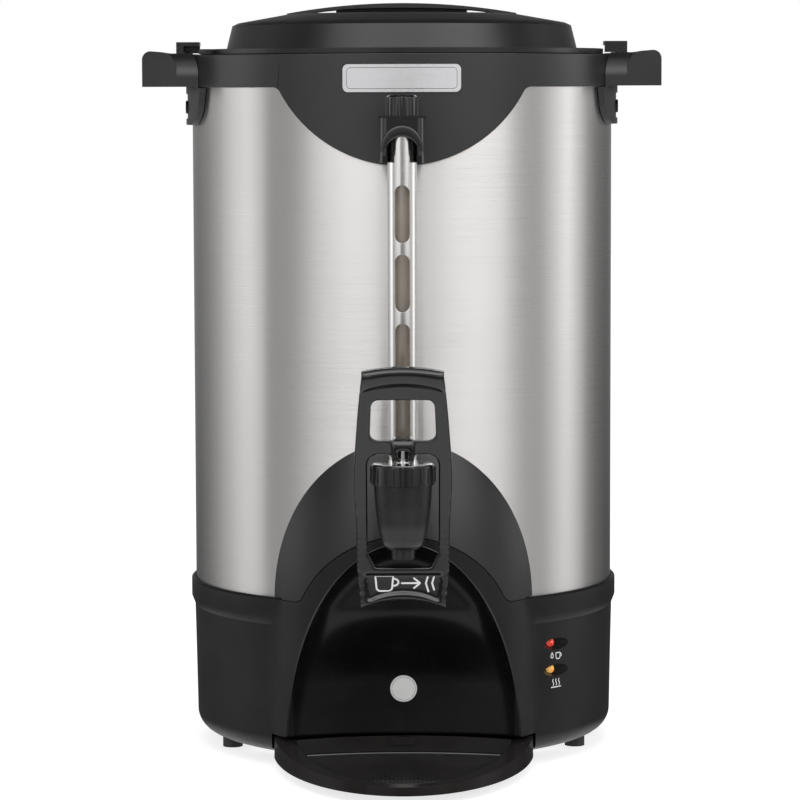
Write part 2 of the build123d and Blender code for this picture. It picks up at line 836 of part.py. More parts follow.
def thermal_fuse():
    """Fuse in its clip on the tank floor."""
    z = floor_z - fuse_r - 0.8
    fuse = bar_y(fuse_r, -fuse_len / 2, fuse_len / 2, fuse_x, z)
    fuse += block(fuse_x - 4, fuse_x + 4, -3, 3, z - fuse_r - 0.6, floor_z)
    return fuse


def terminal_block():
    """Screw block on the pan."""
    z0 = base_low_z + flange_thick + pan_thick
    body = block(-block_w / 2, block_w / 2, block_y - block_d / 2, block_y + block_d / 2, z0, z0 + block_h)
    for i in range(4):
        x = -12 + 8 * i
        body -= disc(2.4, z0 + block_h - 5, z0 + block_h + 1, x, block_y - 2)
    return body


def wire(points, radius):
    """Insulated lead along straight runs with rounded bends."""
    path = FilletPolyline(*points, radius=radius)
    section = Plane(origin=path @ 0, z_dir=path % 0) * Circle(wire_r)
    return sweep(section, path=path)


def inner_wires():
    """Leads between inlet, block, heaters, thermostat and lamps."""
    block_top = base_low_z + flange_thick + pan_thick + block_h
    inlet_in_y = inlet_out_y - inlet_depth
    leads = Part()
    element_z = floor_z - well_wall - gap - ring_element_h
    warm_z = floor_z - warm_h
    for x in (-blade_pitch, blade_pitch):
        leads += wire([
            (x, inlet_in_y, inlet_z + 4), (x, inlet_in_y - 12, inlet_z + 4),
            (x, block_y, block_top + 16), (x, block_y, block_top),
        ], 4)
    for x in (-8, 8):
        leads += wire([
            (x * 1.9, block_y, block_top), (x * 1.9, block_y, 60),
            (x, ring_element_r + 5, element_z - lead_end), (x, ring_element_r + 5, element_z + 2),
        ], 5)
        leads += wire([
            (x * 1.5, block_y + 4, block_top), (x * 1.5, block_y + 4, 74),
            (x, warm_r1 + 3, warm_z - lead_end), (x, warm_r1 + 3, warm_z),
        ], 5)
        leads += wire([
            (x / 2, block_y - 4, block_top), (x / 2, block_y - 4, 40), (x * 6, 40, 46),
            (x * 6, -36, 62), (x / 2, thermostat_y, 74),
            (x / 2, thermostat_y, floor_z - thermostat_h - 7),
        ], 5)
    for z in light_zs.values():
        leads += wire([
            (light_x, board_y + board_thick, z), (light_x, board_y + board_thick + 14, z),
            (z + 25, 20, z - 20), (z - 35, block_y, z - 10), (z / 2 - 31, block_y + 4, z - 20),
            (z / 2 - 31, block_y + 4, block_top),
        ], 5)
    return leads


def power_inlet():
    """Rear appliance inlet, a recessed socket with a flange on the base's wall."""
    y0 = inlet_out_y - inlet_depth
    body = inlet_opening(0, y0, inlet_out_y)
    body += inlet_opening(inlet_flange, inlet_out_y - inlet_flange_thick, inlet_out_y + inlet_flange_thick)
    # the flange sits against the wall from outside
    rim = inlet_opening(FAR / 8, inlet_out_y - inlet_flange_thick - 1, FAR) - inlet_opening(0, 0, FAR)
    body -= rim & disc(body_r + gap, 0, FAR)
    body -= inlet_opening(-inlet_wall, y0 + inlet_wall, FAR)
    return body


def inlet_pins():
    """Three contact blades in the inlet, which run through its floor."""
    y0 = inlet_out_y - inlet_depth
    pins = Part()
    for i, z in ((-1, inlet_z - 2), (0, inlet_z + 2), (1, inlet_z - 2)):
        x = i * blade_pitch
        pins += block(
            x - blade_w / 2, x + blade_w / 2, y0 + inlet_wall, y0 + inlet_wall + blade_len,
            z - blade_h / 2, z + blade_h / 2,
        )
    return pins


def lens(z):
    """Indicator lens with a round front."""
    body = bar_y(lens_r, lens_front_y + 1.6, lens_back_y, light_x, z)
    ball_r = (lens_r**2 + 1.6**2) / (2 * 1.6)
    ball = Pos(light_x, lens_front_y + ball_r, z) * Sphere(ball_r)
    return body + (ball & bar_y(lens_r, lens_front_y - 1, lens_front_y + 1.7, light_x, z))


def indicator_board():
    """Small board with one lamp behind each lens."""
    zs = list(light_zs.values())
    board = block(
        light_x - board_half_w, light_x + board_half_w, board_y, board_y + board_thick,
        min(zs) - 8, max(zs) + 8,
    )
    for z in zs:
        board += bar_y(lamp_r, lens_back_y + gap, board_y + 0.5, light_x, z)
    return board


# ---------------------------------------------------------------- tap
def tap_body():
    """Shank, gauge port, valve chamber and spout in one moulding."""
    body = bar_y(shank_r, tap_y, shank_in_y, 0, shank_z)
    body += bar_y(shank_flange_r, shank_flange_y - shank_flange_thick, shank_flange_y, 0, shank_z)
    body += disc(port_r, shank_z, gauge_port_z, 0, gauge_y)
    barrel = spun([
        (0, barrel_low_z), (barrel_low_r - 2.5, barrel_low_z), (barrel_low_r, barrel_low_z + 2.5),
        (barrel_low_r + 2.4, barrel_low_z + 13), (barrel_top_r - 0.9, barrel_top_z - 12),
        (barrel_top_r, barrel_top_z), (neck_r, barrel_top_z), (neck_r, barrel_top_z + neck_h),
        (0, barrel_top_z + neck_h),
    ])
    body += Pos(0, tap_y, 0) * barrel
    body += disc(spout_r, spout_low_z, barrel_low_z + 1, 0, tap_y)
    body -= disc(chamber_r, chamber_low_z, FAR, 0, tap_y)
    body += tube(outlet_r + seat_lip, outlet_r, chamber_low_z - 1, chamber_low_z + 1, 0, tap_y)
    body -= disc(outlet_r, 0, chamber_low_z + 2, 0, tap_y)
    body -= bar_y(shank_bore_r, tap_y, 0, 0, shank_z)
    body -= disc(shield_tube_r + gap, gauge_port_z - port_depth, FAR, 0, gauge_y)
    body -= disc(glass_r + gap, gauge_port_z - port_depth - glass_seat, FAR, 0, gauge_y)
    body -= disc(glass_r - glass_wall, shank_z, FAR, 0, gauge_y)
    return biggest(body)


def shank_washer(r_face, out_y):
    """Soft washer that follows the tank wall outside."""
    ring = bar_y(washer_r, out_y, 0, 0, shank_z) - bar_y(shank_r + gap, -FAR, 0, 0, shank_z)
    return biggest(ring - disc(r_face, 0, FAR))


def outer_washer():
    """Washer between the shank's flange and the tank."""
    return shank_washer(wall_out, shank_flange_y)


def inner_washer():
    """Washer inside the tank, under the nut."""
    face_y = -(body_r - tank_wall - washer_thick - 1.0)
    ring = bar_y(washer_r, -body_r, face_y, 0, shank_z) - bar_y(shank_r + gap, -FAR, 0, 0, shank_z)
    return biggest(ring & disc(body_r - tank_wall - gap, 0, FAR))


def shank_nut():
    """Nut on the shank inside the tank."""
    y0 = -(body_r - tank_wall - washer_thick - 1.0)
    nut = front_prism(Pos(0, shank_z) * RegularPolygon(nut_r, 6), y0, y0 + nut_thick)
    return nut - bar_y(shank_r + gap, -FAR, 0, 0, shank_z)


def bonnet_ring():
    """Ribbed ring screwed on the valve chamber."""
    z0 = barrel_top_z + 0.2
    z1 = z0 + ring_h - 0.2
    ring = disc(ring_r - ring_rib_r, z0, z1, 0, tap_y)
    ring = chamfer(ring.edges().group_by(Axis.Z)[-1], 0.6)
    for rib in knurl(ring_r - ring_rib_r, ring_rib_count, ring_rib_r, z0 + 0.8, z1 - 1.2, 0, tap_y):
        ring += rib
    ring -= disc(neck_r + gap, 0, barrel_top_z + neck_h, 0, tap_y)
    ring -= disc(bonnet_cap_r + gap, z1 - bonnet_cap_thick, FAR, 0, tap_y)
    ring -= disc(neck_r - 1, 0, FAR, 0, tap_y)
    return ring


def cap_top_z():
    """Top face of the bonnet cap."""
    return barrel_top_z + ring_h + 0.3


def bonnet_cap():
    """Polished plate that closes the bonnet and guides the stem."""
    z0 = barrel_top_z + ring_h - bonnet_cap_thick
    cap = disc(bonnet_cap_r, z0, cap_top_z(), 0, tap_y)
    cap = chamfer(cap.edges().group_by(Axis.Z)[-1], 0.5)
    return cap - disc(stem_r + 2 * pin_gap, 0, FAR, 0, tap_y)


def valve_stem():
    """Stem from the seat cup up to the lever's pin."""
    z0 = chamber_low_z + 1 + gap + 2.5
    body = disc(stem_r, z0, pin_z + eye_r, 0, tap_y)
    body += disc(stem_r + 3.9, z0 + seat_cup_h - 2.5, z0 + seat_cup_h - 1.0, 0, tap_y)
    flat = block(-stem_flat, stem_flat, tap_y - FAR, tap_y + FAR, 0, FAR)
    upper = disc(FAR, cap_top_z() + 3.2, FAR)
    body -= upper - flat
    body -= bar_x(pin_r + pin_gap, -FAR, FAR, tap_y, pin_z)
    return biggest(body)


def seat_cup():
    """Soft cup that closes the outlet."""
    z0 = chamber_low_z + 1 + gap
    cup = disc(seat_cup_r, z0, z0 + seat_cup_h - 2.6, 0, tap_y)
    return cup - disc(stem_r + pin_gap, z0 + 2.4, FAR, 0, tap_y)


def stem_spring():
    """Coil that presses the seat cup down."""
    z0 = chamber_low_z + 1 + gap + 2.5 + seat_cup_h - 1.0 + spring_wire
    z1 = barrel_top_z + ring_h - bonnet_cap_thick - spring_wire - gap
    path = Helix(pitch=(z1 - z0) / spring_turns, height=z1 - z0, radius=spring_r)
    section = Plane(origin=path @ 0, z_dir=path % 0) * Circle(spring_wire)
    return Pos(0, tap_y, z0) * sweep(section, path=path, is_frenet=True)


def lever_pin():
    """Pin through the lever's legs and the stem's eye."""
    return bar_x(pin_r, -pin_half_len, pin_half_len, tap_y, pin_z)


def lever_band(thick_front, thick_back, z0, z1):
    """Curved slab of the lever seen from the side, between two heights."""
    def curve(dy):
        return ThreePointArc(
            (lever_top_y + dy, lever_top_z + 4), (lever_mid_y + dy, lever_mid_z),
            (lever_low_y + dy, lever_low_z - 4),
        )
    front = curve(-thick_front)
    back = curve(thick_back)
    face = make_face([front, Line(front @ 1, back @ 1), back, Line(back @ 0, front @ 0)])
    return side_prism(face, FAR / 4) & block(-FAR, FAR, -FAR, FAR, z0, z1)


def lever_outline(inset=0.0):
    """Front outline of the lever, drawn as (x, z), moved inwards by inset."""
    right = [(lever_low_half_w - inset, lever_low_z + inset)]
    right += [(w - inset, z) for z, w in lever_side.items()]
    right += [(grip_half_w - inset, grip_low_z), (lever_top_half_w - inset, lever_top_z - lever_top_drop)]
    foot_z = lever_low_z + inset
    side = Spline(*right)
    top = ThreePointArc(right[-1], (0, lever_top_z), (-right[-1][0], right[-1][1]))
    other = Spline(*[(-x, z) for x, z in reversed(right)])
    foot = ThreePointArc((-right[0][0], foot_z), (0, foot_z + lever_foot_rise), (right[0][0], foot_z))
    return make_face([side, top, other, foot])


def grip_region():
    """Everything above the grip's arched lower edge, drawn as (x, z)."""
    w = grip_half_w + 2
    edge = ThreePointArc((-w, grip_low_z), (0, grip_low_z + grip_arch), (w, grip_low_z))
    rest = Polyline((w, grip_low_z), (w, lever_top_z + 5), (-w, lever_top_z + 5), (-w, grip_low_z))
    return make_face([edge, rest])


def upper_window():
    """Window under the grip, a little wider at its foot, drawn as (x, z)."""
    corners = [
        (-upper_win_low_half_w, upper_win_low_z), (upper_win_low_half_w, upper_win_low_z),
        (upper_win_top_half_w, upper_win_top_z), (-upper_win_top_half_w, upper_win_top_z),
    ]
    face = make_face(Polyline(*corners, close=True))
    return fillet(face.vertices(), upper_win_round)


def lower_window():
    """Window round the bonnet, with cut lower corners, drawn as (x, z)."""
    half = [
        (lower_win_low_half_w, lower_win_low_z), (lower_win_half_w, lower_win_shoulder_z),
        (lower_win_half_w, lower_win_top_z),
    ]
    face = make_face(Polyline(*half, *[(-x, z) for x, z in reversed(half)], close=True))
    return fillet(face.vertices().group_by(Axis.Y)[-1], lower_win_round)


def lever():
    """Press lever: grip, frame round the bonnet, press plate and clevis legs."""
    t = lever_thick / 2
    outline = front_prism(lever_outline(), -FAR, 0)
    body = lever_band(t, t, 0, FAR) & outline
    body += lever_band(t + grip_proud, t, 0, FAR) & outline & front_prism(grip_region(), -FAR, 0)
    # the press plate lies between rails, sunk from the front and hollow at the back
    dish = front_prism(lever_outline(rail_w), -FAR, 0) & block(
        -FAR, FAR, -FAR, FAR, 0, lower_win_low_z - rail_w
    )
    plate_back = plate_sink + plate_thick - t
    body -= lever_band(t + 1, plate_sink - t, 0, FAR) & dish
    body -= lever_band(-plate_back, t + 1, 0, FAR) & dish
    body -= front_prism(upper_window(), -FAR, 0)
    body -= front_prism(lower_window(), -FAR, 0)
    leg_low = cap_top_z() + clevis_foot
    legs = block(
        -clevis_half_w, clevis_half_w, tap_y - clevis_depth, tap_y + clevis_depth,
        leg_low, upper_win_low_z - clevis_top,
    )
    legs = chamfer(legs.edges().filter_by(Axis.X).group_by(Axis.Z)[-1], clevis_slant)
    legs = fillet(legs.edges().filter_by(Axis.Y).group_by(Axis.Z)[-1], clevis_round)
    body += legs
    slot_half = stem_flat + gap
    # the stem's eye stands between the legs, open to the back and, below the pin, to the front
    slot_z = leg_low - 1
    slot_top = pin_z + eye_r + 1.2
    body -= block(-slot_half, slot_half, tap_y - 5.5, tap_y + FAR, slot_z, slot_top)
    body -= block(-slot_half, slot_half, tap_y - FAR, tap_y, slot_z, pin_z - 1)
    body -= bar_x(pin_r + pin_gap, -FAR, FAR, tap_y, pin_z)
    return biggest(body)


# ---------------------------------------------------------------- sight gauge
def gauge_shield():
    """Slotted steel tube in front of the glass."""
    z0 = gauge_port_z - port_depth + gap
    body = tube(shield_tube_r, shield_tube_r - shield_tube_wall, z0, gauge_top_z, 0, gauge_y)
    for i in range(slot_count):
        z = slot_top_z - slot_len / 2 - i * slot_pitch
        slot = Pos(0, z) * SlotOverall(slot_len, slot_w, rotation=90)
        body -= front_prism(slot, -FAR, gauge_y)
    return body


def gauge_glass():
    """Sight glass."""
    z0 = gauge_port_z - port_depth - glass_seat + gap
    return tube(glass_r, glass_r - glass_wall, z0, bracket_top_z - bracket_plate, 0, gauge_y)


def gauge_seals():
    """Soft sleeves round both ends of the glass."""
    r1 = shield_tube_r - shield_tube_wall - gap
    low = tube(r1, glass_r + gap / 3, gauge_port_z - port_depth + gap, gauge_port_z + seal_h, 0, gauge_y)
    high = tube(r1, glass_r + gap / 3, gauge_top_z - seal_h, gauge_top_z, 0, gauge_y)
    return low + high


def gauge_bracket():
    """Top holder of the gauge, on the collar's shield."""
    back_y = -collar_r
    body = block(
        -bracket_half_w, bracket_half_w, bracket_front_y, back_y + 12, bracket_low_z, bracket_top_z
    )
    body = fillet(body.edges().filter_by(Axis.Z).group_by(Axis.Y)[0], 4.0)
    over = bracket_plate_over
    body += block(
        -bracket_half_w - over, bracket_half_w + over, bracket_front_y - over, back_y + 12,
        bracket_top_z - bracket_plate, bracket_top_z,
    )
    body -= disc(shield_tube_r + gap, 0, gauge_top_z + gap, 0, gauge_y)
    body -= disc(glass_r + gap, 0, bracket_top_z - bracket_plate + gap, 0, gauge_y)
    body -= disc(knob_plug_r + gap, 0, FAR, 0, gauge_y)
    arch_top = gauge_top_z + 5.6
    cut = Pos(0, arch_top - bracket_arch_half_w) * Circle(bracket_arch_half_w)
    cut += Pos(0, (arch_top - bracket_arch_half_w) / 2) * Rectangle(
        2 * bracket_arch_half_w, arch_top - bracket_arch_half_w
    )
    body -= front_prism(cut, -FAR, gauge_y - 2)
    for side in (-1, 1):
        x = side * (shield_tube_r + 1.4)
        body -= block(x - 1.3, x + 1.3, -FAR, gauge_y + 4, 0, bracket_low_z + 4)
    return body - disc(collar_r + gap / 3, 0, FAR)


def gauge_cap_nut():
    """Knurled knob that opens the gauge for cleaning."""
    z1 = bracket_top_z + knob_h
    nut = disc(knob_r - knob_rib_r, bracket_top_z, z1, 0, gauge_y)
    nut = chamfer(nut.edges().group_by(Axis.Z)[-1], 1.0)
    for rib in knurl(knob_r - knob_rib_r, knob_rib_count, knob_rib_r, bracket_top_z, z1 - 1.4, 0, gauge_y):
        nut += rib
    return nut + disc(knob_plug_r, bracket_top_z - knob_plug_len, bracket_top_z + 1, 0, gauge_y)


# ---------------------------------------------------------------- carry handles and lid locks
def handle():
    """Right-hand carry handle: arm, end panels, hollow grip and leg."""
    inner = collar_r + gap
    h = handle_top_z - handle_low_z
    arm_face = Pos(0, (handle_low_z + handle_top_z) / 2) * Rectangle(2 * handle_half_y, h)
    top = arm_face.vertices().group_by(Axis.Y)[-1]
    arm_face = fillet(top, handle_round)
    arm = side_prism(arm_face, handle_reach - 2) & block(0, FAR, -FAR, FAR, 0, FAR)
    x0 = handle_reach - panel_depth_x
    panel = make_face(Polyline(
        (x0, handle_low_z), (handle_reach, handle_low_z), (handle_reach, handle_top_z + panel_rise),
        (x0, handle_top_z), close=True,
    ))
    panel = fillet(panel.vertices().sort_by(Axis.Y)[-1], panel_corner)
    inner_tip = [v for v in panel.vertices() if v.X < x0 + 0.1 and v.Y > handle_top_z - 0.1]
    panel = fillet(inner_tip, panel_round)
    body = arm + front_prism(panel, -handle_half_y, handle_half_y)
    body -= block(
        grip_in_x, handle_reach - grip_wall, -grip_half_y, grip_half_y, 0, handle_recess_z
    )
    body -= disc(inner, 0, FAR)
    leg_z = collar_low_z - gap
    leg_face = make_face(Polyline(
        (-leg_top_half_y, leg_z), (-leg_low_half_y, leg_low_z),
        (leg_low_half_y, leg_low_z), (leg_top_half_y, leg_z), close=True,
    ))
    leg_face = fillet(leg_face.vertices().group_by(Axis.Y)[0], leg_round)
    field = offset(leg_face, -leg_rim_w)
    leg_face += Pos(0, leg_z) * Rectangle(2 * handle_half_y, 2 * (handle_low_z + 1 - leg_z))
    leg = side_prism(leg_face, FAR) & block(0, FAR, -FAR, FAR, 0, FAR)
    # the leg's field lies deeper than its rim
    leg -= side_prism(field, FAR) - disc(wall_out + leg_thick - leg_rim_h, 0, FAR)
    # the leg hugs the tank below the collar and joins the arm outside it
    leg &= tube(wall_out + leg_thick, wall_out, 0, collar_low_z - gap) + tube(
        wall_out + leg_thick, inner, 0, FAR
    )
    body += leg
    for y in (-handle_screw_y, handle_screw_y):
        body -= bar_x(screw_r + gap, 0, FAR, y, handle_screw_z)
        body -= bar_x(screw_head_r + gap, handle_screw_seat_x, FAR, y, handle_screw_z)
    body -= disc(lock_peg_r + gap, handle_top_z - lock_peg_len - gap, FAR, lock_peg_x(), 0)
    return biggest(body)


def lock_peg_x():
    """Centre of the lock's peg."""
    return lock_x1 - lock_wall


def handle_screws():
    """Screws through both handles' legs and the tank wall."""
    screws = Part()
    for y in (-handle_screw_y, handle_screw_y):
        seat = handle_screw_seat_x
        one = bar_x(screw_head_r, seat, seat + screw_head_h, y, handle_screw_z)
        one += bar_x(screw_r, body_r - tank_wall - cap_nut_h, seat + 1, y, handle_screw_z)
        screws += one + mirrored(one)
    return screws


def handle_nuts():
    """Cap nuts of the handle screws, inside the tank."""
    nuts = Part()
    for y in (-handle_screw_y, handle_screw_y):
        wall_x = sqrt((body_r - tank_wall) ** 2 - (abs(y) + cap_nut_r) ** 2) - gap
        nut = bar_x(cap_nut_r, wall_x - cap_nut_h, wall_x, y, handle_screw_z)
        nut -= bar_x(screw_r + gap / 3, wall_x - cap_nut_h + 1, FAR, y, handle_screw_z)
        nuts += nut + mirrored(nut)
    return nuts


def lid_lock():
    """Right-hand hook post that holds the lid's ear down."""
    z0 = handle_top_z
    z1 = z0 + lock_h
    body = block(lock_x1 - lock_wall, lock_x1, -lock_half_y, lock_half_y, z0, z1)
    body += block(lock_x0, lock_x1, -lock_half_y, lock_half_y, z1 - lock_plate, z1)
    body += block(lock_stop_x, lock_x1, -lock_half_y, -lock_half_y + lock_stop_wall, collar_top_z + 1, z1)
    body -= disc(collar_r + gap, 0, z0 + gap)
    body += disc(lock_peg_r, z0 - lock_peg_len, z0 + 1, lock_peg_x(), 0)
    return body


# ---------------------------------------------------------------- lid
def lid_low_z():
    """Underside of the lid's flange."""
    return collar_top_z + gap


def lid_seal():
    """Soft ring between the lid and the collar; it lifts off with the lid."""
    z0 = lid_low_z()
    r1 = collar_mouth_r - seal_play
    ring = tube(r1, r1 - seal_wall, z0 - skirt_drop, z0 + seal_lip)
    return ring + tube(seal_lip_r, r1 - seal_wall, z0, z0 + seal_lip)


def lid_shell():
    """Domed lid with two ears, a skirt and a finger bowl."""
    z0 = lid_low_z()
    z1 = z0 + lid_flange_thick
    skirt_r = collar_mouth_r - seal_play - seal_wall - gap
    t = lid_skin
    seat_z = z0 + seal_lip + gap
    shell = spun([
        (skirt_r, z0 - skirt_drop), (skirt_r, seat_z), (seal_lip_r + gap, seat_z),
        (seal_lip_r + gap, z0), (lid_flange_r, z0), (lid_flange_r, z1),
        (drum_low_r, z1), (drum_top_r, drum_top_z), (cone_r, cone_z), (crown_r, crown_z),
        (bowl_rim_r, crown_z), (bowl_r, bowl_z), (0, bowl_z), (0, bowl_z - t),
        (bowl_r + t * 0.7, bowl_z - t), (bowl_rim_r + t * 0.7, crown_z - t), (crown_r - 1, crown_z - t),
        (cone_r - 1, cone_z - t), (drum_top_r - t, drum_top_z - t), (drum_low_r - t, z1 - t / 2),
        (skirt_r - skirt_wall, seat_z), (skirt_r - skirt_wall, z0 - skirt_drop),
    ])
    wedge_half = lid_ear_r * sin(radians(lid_ear_half_deg))
    for turn in (lid_ear_deg, lid_ear_deg + 180):
        ear = block(lid_flange_r - 4, lid_ear_r + 2, -wedge_half, wedge_half, z0, z1)
        shell += Rot(0, 0, turn) * (ear & disc(lid_ear_r, z0, z1))
    for x in (-lid_screw_x, lid_screw_x):
        shell -= disc(screw_r + gap, 0, FAR * 2, x, 0)
    for i in range(vent_count):
        a = radians(90 + (i - (vent_count - 1) / 2) * vent_step_deg)
        shell -= disc(vent_r, crown_z - 20, FAR * 2, vent_at_r * cos(a), vent_at_r * sin(a))
    return shell


def lid_handle():
    """Arched strap with a centre web over the finger bowl."""
    top = Pos(0, lid_handle_top_z - lid_handle_arc) * Circle(lid_handle_arc)
    half = crown_r
    strap = top & Pos(0, crown_z + 10) * Rectangle(2 * half, 20)
    hollow = Pos(0, crown_z) * Ellipse(lid_gap_half_len, lid_gap_top)
    strap_body = front_prism(strap - hollow, -lid_handle_half_w, lid_handle_half_w)
    web = top & Pos(0, (bowl_z + lid_handle_top_z) / 2) * Rectangle(
        2 * (bowl_r - 3), lid_handle_top_z - bowl_z
    )
    body = strap_body + front_prism(web, -lid_web_half_w, lid_web_half_w)
    for x in (-lid_screw_x, lid_screw_x):
        body -= disc(screw_r + gap / 3, 0, crown_z, x, 0)
    return body


def lid_screws():
    """Screws from the lid's underside into the handle."""
    z0 = bowl_z - lid_skin
    screws = Part()
    for x in (-lid_screw_x, lid_screw_x):
        screws += disc(screw_head_r, z0 - screw_head_h, z0, x, 0) + disc(screw_r, z0 - 1, crown_z - 1, x, 0)
    return screws


# ---------------------------------------------------------------- percolator
def pump_tube():
    """Riser tube with the stop that carries the basket."""
    z0 = floor_z - well_depth + gap + foot_h - 2
    body = tube(pump_r, pump_r - pump_wall, z0, pump_top_z)
    body += tube(basket_stop_r, pump_r - pump_wall, basket_stop_z - basket_stop_h, basket_stop_z)
    return body


def pump_foot():
    """Bell that traps steam in the heating well."""
    z0 = floor_z - well_depth + gap
    z1 = z0 + foot_h
    t = foot_skin
    neck = pump_r + gap / 3
    return spun([
        (foot_r, z0), (foot_r, z0 + 2), (neck + t + 2, z1 - 3), (neck + t, z1), (neck, z1),
        (neck, z1 - 2), (pump_r - pump_wall, z1 - 2), (pump_r - pump_wall, z1 - 3.5),
        (foot_r - t, z0 + 0.6), (foot_r - t, z0),
    ])


def brew_basket():
    """Round basket with a perforated floor and a centre sleeve."""
    z0 = basket_stop_z + gap
    z1 = z0 + basket_h
    body = tube(basket_r, basket_r - basket_skin, z0, z1)
    body += tube(basket_r - basket_skin / 2, pump_r + gap, z0, z0 + basket_skin)
    body += tube(sleeve_r, pump_r + gap, z0, z0 + sleeve_h)
    body += tube(basket_r + 2, basket_r - basket_skin, z1 - 1.2, z1)
    for ring in range(hole_rings):
        r = basket_r - hole_edge - (hole_rings - 1 - ring) * hole_ring_pitch
        count = basket_holes // 2 + 6 * ring
        for i in range(count):
            a = 2 * pi * i / count
            body -= disc(basket_hole_r, z0 - 1, z0 + 2, r * cos(a), r * sin(a))
    return body


def basket_cover():
    """Spreader plate on the basket."""
    z0 = basket_stop_z + gap + basket_h + gap
    t = basket_skin
    inner = pump_r + 2 * gap
    body = spun([
        (basket_r + 1, z0), (basket_r + 1, z0 + t), (basket_r - 6, z0 + t),
        (inner + 12, z0 + cover_rise + t), (inner, z0 + cover_rise + t), (inner, z0 + cover_rise),
        (inner + 12, z0 + cover_rise), (basket_r - 6, z0),
    ])
    for ring in range(cover_rings):
        r = basket_r - (ring + 1) * cover_ring_pitch
        for i in range(cover_holes):
            a = 2 * pi * i / cover_holes
            body -= disc(basket_hole_r, z0 - 1, z0 + cover_rise + 3, r * cos(a), r * sin(a))
    return body


# ---------------------------------------------------------------- drip tray
def oval(half_w, reach):
    """The tray's oval in plan, of which the front part is used."""
    return Pos(0, tray_y) * Ellipse(half_w, reach)


def drip_tray():
    """Shallow oval dish that slides out of the base towards the front."""
    front_y = tray_y - tray_reach
    slope = (tray_back_z - tray_front_z) / (tray_back_y - front_y)
    y_far = pocket_back_y - 4
    z_far = tray_front_z + slope * (y_far - front_y)
    profile = make_face(Polyline(
        (front_y - 1, tray_low_z), (front_y - 1, tray_front_z - slope), (y_far, z_far),
        (y_far, tray_low_z), close=True,
    ))
    wedge = side_prism(profile, FAR / 4)
    outer = extrude(Pos(0, 0, tray_low_z) * oval(tray_half_w, tray_reach), amount=30)
    body = outer & wedge
    body = body & block(-FAR, FAR, -FAR, tray_tongue_y, 0, FAR)
    # only the dish stands outside the base; behind it a narrower tongue runs in the pocket
    front_wall = disc(bump_r + gap, 0, FAR, 0, bump_y) + disc(body_r + gap, 0, FAR)
    behind = front_wall - niche(0)
    inner = extrude(
        Pos(0, 0, tray_low_z + tray_floor) * oval(tray_half_w - tray_side_w, tray_reach - tray_rim_w),
        amount=30,
    )
    bow = disc(recess_bow, 0, FAR, 0, tray_back_y - recess_bow)
    body -= inner & bow
    body -= block(-FAR, FAR, tray_back_y, FAR, tray_low_z + tray_floor, FAR) - disc(
        recess_bow + tray_back_wall, 0, FAR, 0, tray_back_y - recess_bow
    )
    body -= behind & block(-FAR, FAR, -FAR, FAR, bump_low_z - gap, FAR)
    sides = block(tray_tongue_half_w, FAR, tray_back_y + 1, FAR, 0, FAR)
    body -= sides + mirrored(sides)
    # the dish hangs on a raised tongue whose fins run under the pocket's roof
    under = pocket_floor_z() + gap
    top = under + tray_tongue_thick
    w = tray_tongue_half_w
    body -= block(-FAR, FAR, pocket_edge_y - gap, FAR, 0, under)
    body -= block(-FAR, FAR, pocket_edge_y - gap, FAR, top, FAR)
    body += block(-w, w, tray_back_y + 0.5, tray_tongue_y, under, top)
    for i in range(tray_fin_count):
        x = (i - (tray_fin_count - 1) / 2) * tray_fin_pitch
        body += block(
            x - 1, x + 1, tray_tongue_y - tray_fin_len, tray_tongue_y, under, bump_low_z - gap
        )
    for i in range(rib_count):
        x = (i - (rib_count - 1) / 2) * rib_pitch
        body += block(
            x - rib_w / 2, x + rib_w / 2, rib_front_y, rib_back_y,
            tray_low_z + tray_floor - 0.2, tray_low_z + tray_floor + rib_h,
        )
    tab_z = bump_low_z - gap - 0.8
    body += block(
        -tray_tab_half_w, tray_tab_half_w, tray_back_y - 2.2, tray_back_y + 1, tab_z - tray_tab_h, tab_z
    )
    return biggest(body)


